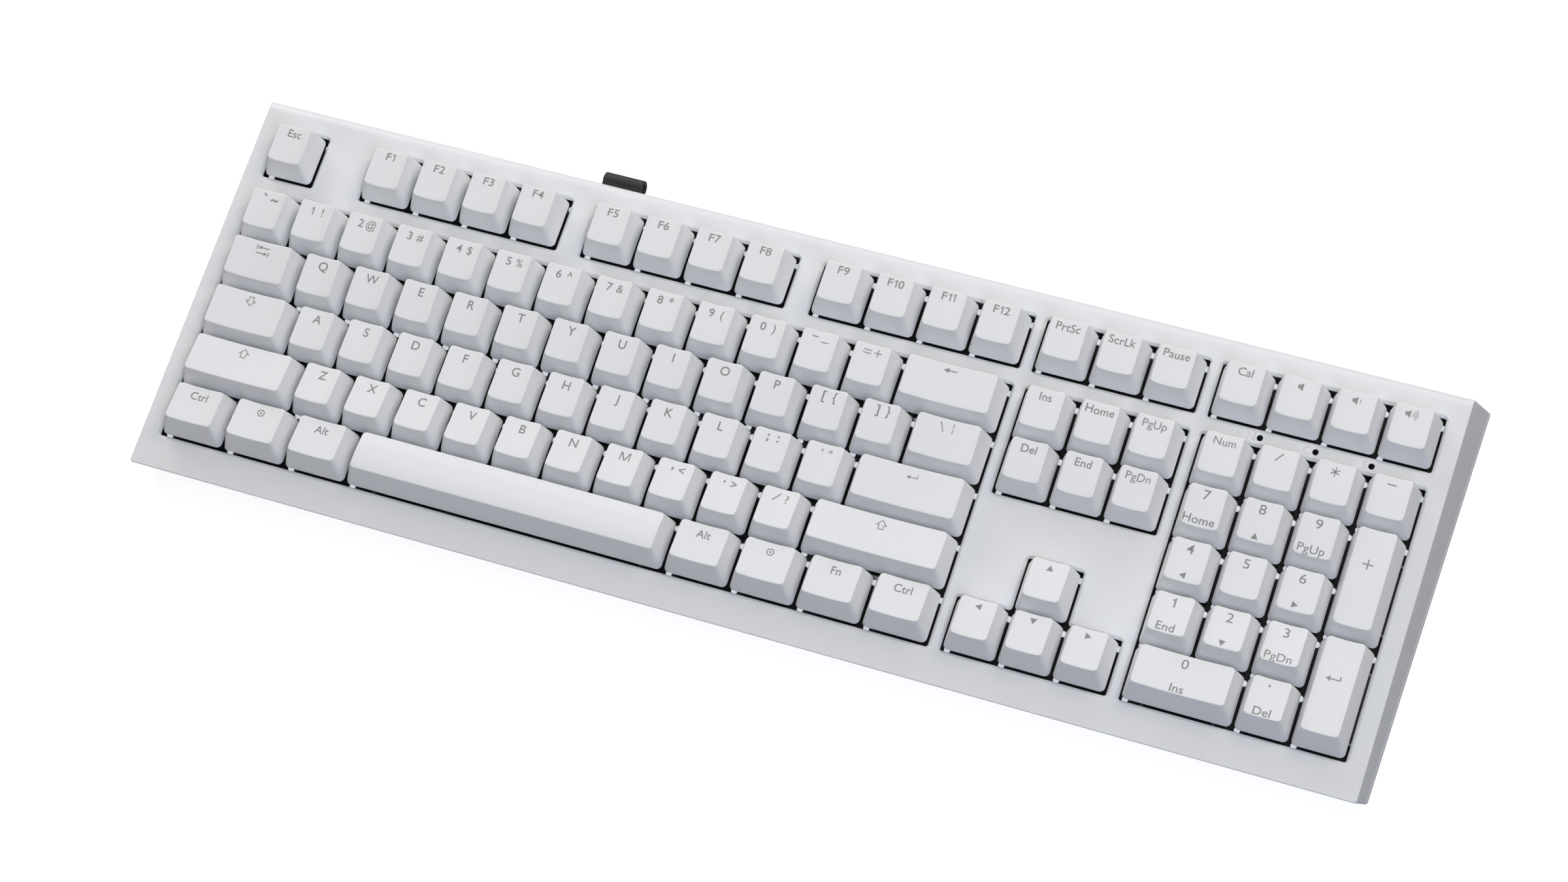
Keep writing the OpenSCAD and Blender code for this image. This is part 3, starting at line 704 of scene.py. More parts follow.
# ---------------------------------------------------------------- keycaps
def close_strip(bm, ring, across, along, corner):
    """Fill a rounded_rect ring with quads from front to rear and two end faces."""
    rear_start = (across + 1) + corner + (along + 1) + corner
    front = [ring[i] for i in range(across + 1)]
    rear = [ring[rear_start + across - i] for i in range(across + 1)]
    for i in range(across):
        bm.faces.new((front[i], front[i + 1], rear[i + 1], rear[i]))
    bm.faces.new(ring[across:rear_start + 1])
    bm.faces.new(ring[rear_start + across:] + ring[:1])


def add_post(bm, x, y, top):
    """Round post with a cross-shaped socket from below."""
    arm, tip = 0.62, 2.06       # half width and reach of the cross
    cross = [(tip, -arm), (tip, arm), (arm, arm), (arm, tip), (-arm, tip), (-arm, arm),
             (-tip, arm), (-tip, -arm), (-arm, -arm), (-arm, -tip), (arm, -tip), (arm, -arm)]
    add_bored_prism(bm, circle(x, y, 2.75, 24), [(x + dx, y + dy) for dx, dy in cross],
                    low=0.7, high=top, bore_top=5.0)


def cap_mesh(cap):
    across, along, corner = max(8, int(round(cap.width / 2.0))), 16 if cap.tall else 8, 6
    w, h = cap.width, cap.depth

    def ring(x_inset, y0, y1, radius, height):
        points = rounded_rect(x_inset, w - x_inset, y0, y1, radius, across, along, corner)
        return [Vector((x, y, height(x, y))) for x, y in points]

    def skirt_ring(inset, radius):
        return ring(SKIRT + inset, SKIRT + inset, h - SKIRT - inset, radius,
                    lambda x, y: SKIRT_Z)

    def face_ring(inset, radius, height=cap.top):
        return ring(SIDE_INSET + inset, cap.face_front + inset, cap.face_rear - inset, radius,
                    height)

    rim = skirt_ring(0, 1.8)
    face = face_ring(0, 1.35)
    face_edge = face_ring(TOP_EDGE, 1.12)
    # underside of the ceiling, inner wall and rounded lip of the skirt
    ceiling = face_ring(1.4, 0.8, lambda x, y: cap.plane(y) - 2.2)
    inner_rim = skirt_ring(1.3, 1.0)
    rings = [ceiling, [a.lerp(b, 0.5) for a, b in zip(ceiling, inner_rim)], inner_rim,
             skirt_ring(0.22, 1.58), [a.lerp(b, 0.02) for a, b in zip(rim, face)]]
    # side wall, very slightly bellied
    for t in (0.2, 0.4, 0.6, 0.8):
        wall = []
        for a, b in zip(rim, face):
            point = a.lerp(b, t)
            outward = Vector((point.x - w / 2, point.y - h / 2, 0))
            if outward.length:
                outward.normalize()
            wall.append(point + outward * 0.10 * 4 * t * (1 - t))
        rings.append(wall)
    # rounded top edge
    for i in range(6):
        edge = []
        for low, corner_point, end in zip(rim, face, face_edge):
            down = low - corner_point
            reach = min(TOP_EDGE * 1.15, down.length * 0.5)
            start = corner_point + down * (reach / down.length)
            edge.append(quad_bezier(start, corner_point, end, i / 5))
        rings.append(edge)
    for inset, radius in ((0.9, 0.8), (1.9, 0.6), (3.2, 0.4), (4.5, 0.4)):
        rings.append(face_ring(inset, radius))

    bm = bmesh.new()
    placed = [[Vector((p.x + cap.left, p.y + cap.front, p.z)) for p in r] for r in rings]
    verts = add_loft(bm, placed, caps=False)
    close_strip(bm, verts[-1], across, along, corner)
    close_strip(bm, verts[0], across, along, corner)
    for x, y in cap.posts():
        add_post(bm, x, y, cap.plane(y - cap.front) - 1.6)
    deck_to_world(bm)
    return bm


# ---------------------------------------------------------------- sliders and springs
def add_fork(bm, x, y, along_x):
    """Insert at an outer post: two legs astride a gap, under a common plate."""
    half_x, half_y = (4.0, 2.4) if along_x else (2.4, 4.0)
    gap = 1.1       # half the clear width between the legs
    for side in (-1, 1):
        near, far = sorted((side * gap, side * 2.4))
        if along_x:
            low, high = (x - half_x, y + near, -5.8), (x + half_x, y + far, -0.2)
        else:
            low, high = (x + near, y - half_y, -5.8), (x + far, y + half_y, -0.2)
        add_block(bm, low, high, 0.2)
    add_block(bm, (x - half_x, y - half_y, -0.22), (x + half_x, y + half_y, 0.4), 0.15)


def sliders_mesh(caps):
    bm = bmesh.new()
    for cap in caps:
        for i, (x, y) in enumerate(cap.posts()):
            if i == 0:
                outline = rounded_rect(x - 3.3, x + 3.3, y - 2.5, y + 2.5, 0.35, 2, 2, 3)
                add_bored_prism(bm, outline, circle(x, y, 2.3, 24), low=-6, high=0.4,
                                bore_top=-1.8)
            else:
                add_fork(bm, x, y, along_x=cap.tall)
            # cross that fits the keycap's post
            for half_x, half_y in ((2, 0.55), (0.5, 2)):
                add_block(bm, (x - half_x, y - half_y, 0.3), (x + half_x, y + half_y, 4.2), 0.12)
    deck_to_world(bm)
    return bm


SPRING_LOW, SPRING_HIGH = -10.15, -2.05


def add_coil(bm, x, y, turns=7, steps=12, wire=0.2, mean=1.87):
    """Round-wire coil spring with its end turns laid closer; wire and mean are radii."""
    end = 0.8       # turns laid closer at each end
    sections = []
    for k in range(turns * steps + 1):
        turn = k / (turns * steps) * turns
        middle = min(1.0, max(0.0, (turn - end) / (turns - 2 * end)))
        ends = min(1.0, turn / end) - 1 + max(0.0, (turn - turns + end) / end)
        rise = middle * 0.92 + 0.04 + 0.04 * ends
        z = SPRING_LOW + wire + (SPRING_HIGH - SPRING_LOW - 2 * wire) * rise
        angle = 2 * math.pi * k / steps
        section = []
        for j in range(6):
            q = math.radians(60 * j)
            reach = mean + wire * math.cos(q)
            section.append((x + reach * math.cos(angle), y + reach * math.sin(angle),
                            z + wire * math.sin(q)))
        sections.append(section)
    add_loft(bm, sections)


def springs_mesh(caps):
    bm = bmesh.new()
    for cap in caps:
        add_coil(bm, cap.mid_x, cap.mid_y)
    deck_to_world(bm)
    return bm


# ---------------------------------------------------------------- lettering
# base: height of the foot of the mark over the cell's front; height: of capitals;
# shift: to the right of the cell's middle; stretch: in x; bold: outline offset;
# scale: of the whole mark. Styles without a height hold icons only.
Style = namedtuple("Style", "base height shift stretch bold scale",
                   defaults=(None, 0.35, 1.0, 0.011, 1.0))
STYLES = {
    "modifier": Style(13.25, 2.85, shift=0.2),
    "colon": Style(14.3, 3.35, bold=0.022),
    "comma": Style(15.1, 3.4, bold=0.022),
    "angle": Style(13.6, 3.1, bold=0.013),
    "dot": Style(14.3),
    "function": Style(14.1, 2.85, shift=-0.05, stretch=1.12, bold=0.009),
    "bracket": Style(13.9, 3.15, shift=0.3, bold=0.016),
    "word": Style(13.75, 2.85, shift=-0.1),
    "letter": Style(13.2, 3.2),
    "number": Style(13.3, 2.95),
    "symbol": Style(13.6),
    "triangle": Style(14.5, shift=-0.15),
    "pad_digit": Style(13.6, 3.35, shift=-0.35, stretch=1.13, bold=0.003),
    "pad_word": Style(5.0, 2.85, shift=-0.6, stretch=1.08),
    "pad_arrow": Style(4.7, shift=-0.5),
    "pad_plus": Style(24.0, shift=-0.6),
    "pad_num": Style(14.0, 2.7, shift=0.2, stretch=1.02, bold=0.006),
    "pad_enter": Style(22.2, shift=-0.9, scale=1.25),
}


def font_outline(text, bold):
    """Flat mesh of a text at font size 1."""
    curve = bpy.data.curves.new("glyph", "FONT")
    curve.body = text
    curve.size = 1.0
    curve.space_character = 1.02
    curve.resolution_u = 5
    curve.offset = bold
    curve.fill_mode = "FRONT"
    ob = new_object("glyph", curve)
    mesh = evaluated_mesh(ob)
    bpy.data.objects.remove(ob)
    bpy.data.curves.remove(curve)
    bm = bmesh.new()
    bm.from_mesh(mesh)
    bpy.data.meshes.remove(mesh)
    bmesh.ops.remove_doubles(bm, verts=bm.verts, dist=1e-5)
    return bm


def cap_height():
    """Height of a capital at font size 1."""
    bm = font_outline("H", 0.011)
    heights = [v.co.y for v in bm.verts]
    bm.free()
    return max(heights) - min(heights)


CAP_HEIGHT = cap_height()


def x_range(bm):
    xs = [v.co.x for v in bm.verts]
    return min(xs), max(xs)


def glyphs(text, height, bold=0.011):
    """Flat text, centred in x, with the given capital height."""
    bm = font_outline(text, bold)
    scale = height / CAP_HEIGHT
    low, high = x_range(bm)
    middle = (high + low) / 2
    for v in bm.verts:
        v.co = Vector(((v.co.x - middle) * scale, v.co.y * scale, 0))
    return bm


def add_patch(bm, points):
    """One flat face."""
    bm.faces.new([bm.verts.new((x, y, 0)) for x, y in points])


def add_stroke(bm, points, width, closed=False):
    """Mitred band along a path."""
    count = len(points)
    left, right = [], []
    for i in range(count):
        point = Vector(points[i])
        before = Vector(points[i - 1]) if i > 0 or closed else None
        after = Vector(points[(i + 1) % count]) if i < count - 1 or closed else None
        way_in = ((point - before) if before is not None else (after - point)).normalized()
        way_out = (after - point).normalized() if after is not None else way_in
        normal_in = Vector((-way_in.y, way_in.x))
        normal_out = Vector((-way_out.y, way_out.x))
        mitre = (normal_in + normal_out).normalized()
        reach = width / 2 / max(0.35, mitre.dot(normal_in))
        left.append(bm.verts.new((*(point + mitre * reach), 0)))
        right.append(bm.verts.new((*(point - mitre * reach), 0)))
    for i in range(count if closed else count - 1):
        j = (i + 1) % count
        bm.faces.new((right[i], right[j], left[j], left[i]))


def drawn_m(height):
    """Letter M with its inner corner low."""
    outline = ((-1.85, 0), (-1.43, 0), (-1.43, 2.5), (-0.24, 0), (0.24, 0), (1.43, 2.5),
               (1.43, 0), (1.85, 0), (1.85, 3.2), (1.22, 3.2), (0, 0.62), (-1.22, 3.2),
               (-1.85, 3.2))
    bm = bmesh.new()
    scale = height / 3.2
    add_patch(bm, [(x * scale, y * scale) for x, y in outline])
    return bm


def drawn_one(height):
    """Numeral 1 with a flag and no foot; returns its mesh and right edge."""
    bm = bmesh.new()
    stem, width = height * 0.22, height * 0.14
    add_patch(bm, [(stem - height * 0.2, height * 0.70), (stem, height * 0.70), (stem, 0),
                   (stem + width, 0), (stem + width, height), (stem + width * 0.25, height),
                   (stem - height * 0.04, height * 0.86), (stem - height * 0.2, height * 0.80)])
    return bm, stem + width


def word_with_ones(text, height):
    """Text whose numeral ones are drawn, set chunk by chunk and centred."""
    out = bmesh.new()
    x = 0.0
    for chunk in text.replace("1", " 1 ").split():
        if chunk == "1":
            part, width = drawn_one(height)
            start = 0.02 * height
        else:
            part = glyphs(chunk, height)
            low = x_range(part)[0]
            for v in part.verts:
                v.co.x -= low
            low, high = x_range(part)
            width, start = high - low, 0.0
        for v in part.verts:
            v.co.x += x - start
        append_mesh(out, part)
        x += width + height * 0.13
    low, high = x_range(out)
    middle = (low + high) / 2
    for v in out.verts:
        v.co.x -= middle
    return out


def word(text, height, bold):
    if text == "M":
        return drawn_m(height)
    if "1" in text:
        return word_with_ones(text, height)
    if text in "`~":
        return glyphs(text, height * 1.2, 0.03)
    # intricate characters take a thinner line
    return glyphs(text, height, 0.005 if any(c in text for c in "g@&W%#4$") else bold)


SOLID = None        # in place of a band width: the shape is filled
CLOSED = True


def speaker(waves):
    """Speaker with a number of sound waves on its right."""
    left = -0.4 * waves
    box = [(left - 0.8, 0.85), (left - 0.25, 0.85), (left - 0.25, 1.75), (left - 0.8, 1.75)]
    cone = [(left - 0.27, 0.85), (left + 0.45, 0.3), (left + 0.45, 2.3), (left - 0.27, 1.75)]
    return [(SOLID, box), (SOLID, cone)] + [
        (0.17, arc(left + 0.55, 1.3, 0.6 + 0.48 * i, -48, 48, 8)) for i in range(waves)]


def triangle(degrees):
    """Upright triangle turned about (0, 1.2)."""
    c, s = math.cos(math.radians(degrees)), math.sin(math.radians(degrees))
    return [(SOLID, [((x * c - (y - 1.2) * s) * 1.4, (x * s + (y - 1.2) * c) * 1.4 + 1.2)
                     for x, y in ((-0.85, 0.45), (0.85, 0.45), (0, 1.95))])]


def star():
    bars = []
    for degrees in (30, 90, 150):
        x, y = 1.6 * math.cos(math.radians(degrees)), 1.6 * math.sin(math.radians(degrees))
        bars.append((0.4, [(-x, 1.25 - y), (x, 1.25 + y)]))
    return bars


HOLLOW_UP = [(0, 2.75), (1.4, 1.35), (0.68, 1.35), (0.68, 0.1), (-0.68, 0.1), (-0.68, 1.35),
             (-1.4, 1.35)]
# Each icon is a list of (band width or SOLID, points[, CLOSED]), centred on x, from y = 0 up.
ICONS = {
    "arrow_left": [(0.4, [(-2.2, 2.1), (1.3, 2.1)]),
                   (SOLID, [(-3.6, 2.1), (-1.6, 1.2), (-1.6, 3.0)])],
    "minus": [(0.42, [(-1.0, 1.9), (1.0, 1.9)])],
    "under": [(0.36, [(-1.4, 0.35), (1.4, 0.35)])],
    "equals": [(0.36, [(-1.4, 1.85), (1.4, 1.85)]), (0.36, [(-1.4, 0.75), (1.4, 0.75)])],
    "plus_small": [(0.38, [(-1.4, 1.3), (1.4, 1.3)]), (0.38, [(0, -0.1), (0, 2.7)])],
    "backslash": [(0.36, [(0.75, -0.5), (-0.75, 2.9)])],
    "enter": [(0.32, [(-0.9, 0.9), (1.9, 0.9), (1.9, 2.0)]),
              (SOLID, [(-1.9, 0.9), (-0.7, 0.15), (-0.7, 1.65)])],
    "tab": [(0.32, [(-1.9, 1.35), (-1.9, 2.75)]), (0.32, [(-0.8, 2.05), (1.9, 2.05)]),
            (SOLID, [(-1.6, 2.05), (-0.6, 1.45), (-0.6, 2.65)]),
            (0.32, [(1.9, -0.35), (1.9, 1.05)]), (0.32, [(-1.9, 0.35), (0.8, 0.35)]),
            (SOLID, [(1.6, 0.35), (0.6, 0.95), (0.6, -0.25)])],
    "hollow_up": [(0.26, HOLLOW_UP, CLOSED)],
    "hollow_down": [(0.26, [(x, 2.8 - y) for x, y in HOLLOW_UP][::-1], CLOSED)],
    "tri_up": triangle(0),
    "tri_left": triangle(90),
    "tri_down": triangle(180),
    "tri_right": triangle(-90),
    "speaker0": speaker(0),
    "speaker1": speaker(1),
    "speaker2": speaker(3),
    "ring": [(0.38, circle(0, 1.3, 1.15, 24), CLOSED), (SOLID, circle(0, 1.3, 0.38, 12))],
    "broken_bar": [(0.33, [(0, -0.6), (0, 0.95)]), (0.33, [(0, 1.5), (0, 3.0)])],
    "dash": [(0.42, [(-1.7, 1.7), (1.4, 1.7)])],
    "slash": [(0.42, [(-1.15, -0.1), (1.15, 2.8)])],
    "star": star(),
    "dot": [(SOLID, circle(0, 1.2, 0.42, 12))],
    "plus": [(0.45, [(-1.75, 1.2), (1.75, 1.2)]), (0.45, [(0, -0.55), (0, 2.95)])],
}
# Enlarged icons: scale, height of the fixed point, shift in x afterwards.
ENLARGED = {name: (1.25, 1.35, 0.0) for name in ("tab", "hollow_up", "hollow_down")}
ENLARGED.update({f"speaker{i}": (1.45, 1.3, -0.4) for i in range(3)})


def icon(name):
    bm = bmesh.new()
    for width, points, *closed in ICONS[name]:
        if width is SOLID:
            add_patch(bm, points)
        else:
            add_stroke(bm, points, width, bool(closed))
    if name in ENLARGED:
        scale, fixed_y, shift = ENLARGED[name]
        for v in bm.verts:
            v.co = Vector((v.co.x * scale + shift, (v.co.y - fixed_y) * scale + fixed_y, 0))
    return bm


def add_thickened(flat, out, place):
    """Thicken a flat mesh into closed solids in out; place(x, y, raised) gives the points."""
    made = bmesh.ops.extrude_face_region(flat, geom=list(flat.faces))
    raised = {v for v in made["geom"] if isinstance(v, bmesh.types.BMVert)}
    placed = {v: out.verts.new(place(v.co.x, v.co.y, v in raised)) for v in flat.verts}
    for f in flat.faces:
        out.faces.new([placed[v] for v in f.verts])
    flat.free()


def add_legend(cap, what, style_name, shift, out):
    """Thin solid that follows the keycap's top face and reaches just above it."""
    style = STYLES[style_name]
    flat = icon(what) if what in ICONS else word(what, style.height, style.bold)
    for v in flat.verts:
        v.co.x *= style.scale * style.stretch
        v.co.y *= style.scale
    # slices let the mark bend with the dish
    low, high = x_range(flat)
    x = math.ceil(low) + 0.0
    while x < high:
        geometry = list(flat.verts) + list(flat.edges) + list(flat.faces)
        bmesh.ops.bisect_plane(flat, geom=geometry, plane_co=(x, 0, 0), plane_no=(1, 0, 0),
                               dist=1e-4)
        x += 1.2
    middle = cap.width / 2 + shift + style.shift

    def place(x, y, raised):
        x, y = middle + x, style.base + y
        return cap.left + x, cap.front + y, cap.top(x, y) + (0.028 if raised else -0.1)

    add_thickened(flat, out, place)


def legends_mesh(caps):
    bm = bmesh.new()
    for cap in caps:
        for what, style, shift in cap.marks:
            add_legend(cap, what, style, shift, bm)
    deck_to_world(bm)
    return bm


def build_keys():
    for cap in KEYS:
        piece(f"keycap_{cap.name}", cap_mesh(cap), [KEYCAP], cap.body,
              even_normals=False, sharp=50)
    for body, caps in KEYS_OF.items():
        if any(cap.marks for cap in caps):
            piece(f"legends_{body}", legends_mesh(caps), [LEGEND], body, smooth=False,
                  even_normals=False)
    for body, caps in KEYS_OF.items():
        piece(f"sliders_{body}", sliders_mesh(caps), [STEM], body, even_normals=False, sharp=40,
              replaces=body)
    # the springs ride on the case, each body's springs with a mesh of its own
    for body, caps in KEYS_OF.items():
        ob = piece(f"springs_{body}", springs_mesh(caps), [SPRING], "case", even_normals=False,
                   replaces="switch_springs")
        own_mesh(ob)


build_keys()

# ---------------------------------------------------------------- case outline
LAMPS = [((19.5 + i) * PITCH - FIELD / 2, GAP_Y) for i in range(3)]
CASE_SCREWS = ([(x, -3.2) for x in (-160, -64, 73.8, 160)]
               + [(x, Y_REAR - 4.1) for x in (-145, -45, 50, 145)])


def plan(depth, inset, inset_front, inset_rear, front_radius, rear_radius):
    """Outline of the case at a depth under the deck's top."""
    half = HALF_WIDTH + FLARE * depth - inset
    y0 = Y_FRONT + (BASE_FRONT_Y - Y_FRONT) * depth / (DECK_TOP - BASE_FRONT_Z) + inset_front
    y1 = Y_REAR + REAR_LEAN * depth / (DECK_TOP - base_z(BASE_REAR_Y)) - inset_rear
    return rounded_rect(-half, half, y0, y1, front_radius, 40, 16, 7, rear_radius)


def shell_ring(depth, inset=0.0, front_radius=1.0, rear_radius=0.8, inset_front=None,
               inset_rear=None):
    """Ring round the case; depth(i, y, lean) is the depth under the deck's top at point i.

    y is the point's place at the top and lean its shift in y per millimetre of depth.
    """
    insets = (inset, inset if inset_front is None else inset_front,
              inset if inset_rear is None else inset_rear)
    upper = plan(0.0, *insets, front_radius, rear_radius)
    lower = plan(30.0, *insets, front_radius, rear_radius)
    ring = []
    for i, (a, b) in enumerate(zip(upper, lower)):
        lean_x, lean_y = (b[0] - a[0]) / 30, (b[1] - a[1]) / 30
        d = depth(i, a[1], lean_y)
        ring.append(Vector((a[0] + lean_x * d, a[1] + lean_y * d, DECK_TOP - d)))
    return ring


def level(depth):
    """A constant depth."""
    return lambda i, y, lean: depth


def above_base(height):
    """The depth that lies a constant height over the base."""
    slope = math.tan(TILT)
    return lambda i, y, lean: ((DECK_TOP - BASE_FRONT_Z - height + slope * (y - BASE_FRONT_Y))
                               / (1 - slope * lean))


def cell_box(left, right, front_row, rear_row):
    """x0, x1, y0, y1 of a block of key cells."""
    return (left * PITCH - FIELD / 2, right * PITCH - FIELD / 2, ROW_Y[front_row],
            ROW_Y[rear_row] + PITCH)


def key_openings():
    """Corners of the openings in the deck, counter-clockwise."""
    polygons = []
    # left and right in pitches, front row, rear row
    for block in ((0, 1, 0, 0), (2, 6, 0, 0), (6.5, 10.5, 0, 0), (11, 15, 0, 0),
                  (15.25, 18.25, 0, 0), (18.5, 22.5, 0, 0), (0, 15, 5, 1),
                  (15.25, 18.25, 2, 1), (18.5, 22.5, 5, 1)):
        x0, x1, y0, y1 = cell_box(*block)
        polygons.append([(x0, y0), (x1, y0), (x1, y1), (x0, y1)])
    # the arrow keys: three cells with one behind the middle
    x0, x1, y0, y1 = cell_box(15.25, 18.25, 5, 5)
    up_x0, up_x1, _, up_y1 = cell_box(16.25, 17.25, 4, 4)
    polygons.append([(x0, y0), (x1, y0), (x1, y1), (up_x1, y1), (up_x1, up_y1),
                     (up_x0, up_y1), (up_x0, y1), (x0, y1)])
    return polygons


# ---------------------------------------------------------------- top case
USB_X, TAG_X = -120.0, -85.6
TAG_Z = -4.4


def opening_sections(polygon):
    """A flared key opening from the deck's top to its underside."""
    outer = at_height(rounded_poly(polygon, 1.3, 2.7, 0.4), DECK_TOP)
    throat = rounded_poly(polygon, 0.2, 0.75, 1.3)
    flare_end = at_height(throat, 0.15)
    sections = [at_height(rounded_poly(polygon, 1.38, 2.78, 0.35), DECK_TOP)]
    for t in (0.05, 0.35, 0.65, 0.92):
        sections.append([a.lerp(b, t) for a, b in zip(outer, flare_end)])
    sections += [at_height(throat, 0.0), at_height(throat, -0.12)]
    sections.append(at_height(rounded_poly(polygon, 1.25, 1.8, 0.4), DECK_UNDER))
    return sections


def top_case_body():
    """Deck, rounded edge and walls, with the key openings and lamp holes."""
    corner = shell_ring(level(0.0))
    # the edge rounding reaches further at the rear than at the front and sides
    reach = []
    for i in range(len(corner)):
        side = normal_at(corner, i, closed=True)
        reach.append(0.45 * abs(side.x) ** 2 + (3.6 if side.y > 0 else 0.6) * abs(side.y) ** 2)
    flat = shell_ring(level(0.0), 0.45, 0.7, 0.6, inset_front=0.6, inset_rear=3.6)
    wall = shell_ring(lambda i, y, lean: reach[i])
    seam = shell_ring(above_base(3.4))
    sections = [[quad_bezier(f, c, w, k / 8) for f, c, w in zip(flat, corner, wall)]
                for k in range(9)]
    sections += [[a.lerp(b, t) for a, b in zip(wall, seam)] for t in (0.3, 0.65)]
    sections += [shell_ring(above_base(3.65)), shell_ring(above_base(3.4), 0.25, 0.9, 0.7),
                 shell_ring(above_base(3.4), 2.5, 0.4, 0.8),
                 shell_ring(level(DECK_TOP - DECK_UNDER), 2.5, 0.4, 0.8)]
    bm = bmesh.new()
    rings = add_loft(bm, sections, caps=False)
    top_rings, under_rings = [rings[0]], [rings[-1]]
    holes = [opening_sections(polygon) for polygon in key_openings()]
    # lamp holes: radius, height
    lamp_profile = ((1.22, DECK_TOP), (1.08, 0.95), (0.98, 0.82), (0.95, 0.6), (0.95, DECK_UNDER))
    holes += [[at_height(circle(x, y, r), z) for r, z in lamp_profile] for x, y in LAMPS]
    for hole in holes:
        rings = add_loft(bm, hole, caps=False)
        top_rings.append(rings[0])
        under_rings.append(rings[-1])
    fill_between(bm, top_rings, (0, 0, 1))
    fill_between(bm, under_rings, (0, 0, -1))
    return bm


def build_top_case():
    y0, y1 = Y_REAR - 3.5, Y_REAR + 9
    socket_hole = y_bar(USB_X - 6.2, USB_X + 6.2, BOARD_Z - 1.6, BOARD_Z + 4.8, 1.2, y0, y1)
    tag_hole = y_bar(TAG_X - 7.8, TAG_X + 7.8, -7.4, -2.7, 0.4, y0, y1)
    bm = cut(top_case_body(), [socket_hole, tag_hole])
    # screw bosses under the deck
    for x, y in CASE_SCREWS:
        low = base_z(y) + 3.1
        add_loft(bm, [at_height(circle(x, y, r), z)
                      for r, z in ((2.8, -1.25), (2.8, low), (1.5, low), (1.5, low + 8))])
    # the walls of the lamp holes take the second material
    for f in bm.faces:
        for x, y in LAMPS:
            if all(math.hypot(v.co.x - x, v.co.y - y) < 1.15 and -1.3 < v.co.z < 0.96
                   for v in f.verts):
                f.material_index = 1
    deck_to_world(bm)
    piece("top_case_shell", bm, [CASE, TUBE], "case", sharp=35,
          replaces="top_case")


def build_lamp_letters():
    """Faint letters to the left of the lamp holes."""
    bm = bmesh.new()
    for (lamp_x, lamp_y), letter, shift in zip(LAMPS, "NCS", (-3.0, -2.9, -2.4)):
        add_thickened(glyphs(letter, 2.8, 0.002), bm, lambda x, y, raised: (
            lamp_x + shift + x, lamp_y - 1.35 + y, 1.02 if raised else 0.9))
    deck_to_world(bm)
    piece("lamp_letters", bm, [LAMP_MARK], "case")


build_top_case()
build_lamp_letters()

# ---------------------------------------------------------------- bottom case
# From here down to the rear strap, places are world millimetres.
BASE_LIFT = 1.5                         # height of the underside
PIVOT_Y = DECK_Y + (Y_REAR - 15) * COS + 25 * SIN
PIVOT_Z = BASE_LIFT + 2.2
FOOT_X, FOOT_LENGTH = 172.0, 24.0
PAD_PLACES = [(side * 190, y) for side in (-1, 1)
              for y in (world_point(0, BASE_FRONT_Y, BASE_FRONT_Z).y / MM + 12,
                        world_point(0, BASE_REAR_Y, -25).y / MM - 8)]


def foot_bars(half_x, front, rear, radius, low, high):
    """A block round each tilt foot."""
    return [z_bar(side * FOOT_X - half_x, side * FOOT_X + half_x, PIVOT_Y - FOOT_LENGTH - front,
                  PIVOT_Y + rear, radius, low, high) for side in (-1, 1)]


def screw_bores(profile, count):
    bores = []
    for x, y in CASE_SCREWS:
        bore = turned(profile, (x, y, base_z(y)), count)
        deck_to_mm(bore)
        bores.append(bore)
    return bores


def add_plate_pillars(bm):
    """Hollow pillars for the plate screws."""
    # x in pitches, y in millimetres
    for column, y in ((1.5, GAP_Y), (6.25, GAP_Y), (10.75, GAP_Y), (15.125, GAP_Y),
                      (18.375, GAP_Y), (15.125, 2.5 * PITCH), (18.375, 1.5 * PITCH)):
        top = BOARD_Z - 1.65
        outline = ((2.7, base_z(y) + 2.0), (2.7, top), (1.5, top), (1.5, -17.6))
        add_loft(bm, [[world_point(px, py, z) / MM
                       for px, py in circle(column * PITCH - FIELD / 2, y, radius, 24)]
                      for radius, z in outline])


def build_bottom_case():
    # height over the base, inset, front and rear corner radius
    stations = ((0.0, 0.5, 0.6, 0.5), (0.06, 0.22, 0.8, 0.65), (0.22, 0.06, 0.95, 0.75),
                (0.5, 0.0, 1.0, 0.8), (2.8, 0.0, 1.0, 0.8), (3.05, 0.25, 0.9, 0.7),
                (3.05, 2.6, 0.4, 0.8), (4.7, 2.6, 0.4, 0.8), (4.9, 2.8, 0.4, 0.8),
                (4.9, 3.4, 0.3, 0.6), (4.7, 3.6, 0.3, 0.6), (2.8, 3.6, 0.3, 0.6))
    bm = bmesh.new()
    add_loft(bm, [shell_ring(above_base(height), *rest) for height, *rest in stations])
    deck_to_mm(bm)
    housings = foot_bars(25.5, 5.5, 6.5, 2.0, BASE_LIFT + 0.4, BASE_LIFT + 9)
    bm = cut(bm, [join(housings)], "UNION")
    pockets = foot_bars(20.6, 3, 3.6, 1.0, -1, BASE_LIFT + 6.4)
    pockets += [z_bar(x - 16, x + 16, y - 5, y + 5, 3.2, -1, BASE_LIFT + 0.8)
                for x, y in PAD_PLACES]
    bm = cut(bm, [join(pockets)])
    bores = [turned([(1.36, -24), (1.36, 24)], (side * FOOT_X, PIVOT_Y, PIVOT_Z), 24, "x")
             for side in (-1, 1)]
    bores += screw_bores([(3.5, -3), (3.2, 0.25), (3.2, 1.5)], 32)
    bm = cut(bm, [join(bores)])
    bm = cut(bm, [join(screw_bores([(1.75, -3), (1.75, 6)], 24))])
    add_plate_pillars(bm)
    mm_to_world(bm)
    piece("bottom_case_shell", bm, [CASE], "case", sharp=35,
          replaces="bottom_case")


# ---------------------------------------------------------------- feet
def x_run(profile, stations, origin):
    """YZ profile run along X; each station is (x, inset of the profile)."""
    sections = []
    for x, inset in stations:
        section = []
        for i, point in enumerate(profile):
            moved = Vector(point) - normal_at(profile, i, closed=True) * inset
            section.append((x + origin[0], moved.x + origin[1], moved.y + origin[2]))
        sections.append(section)
    return loft(sections)


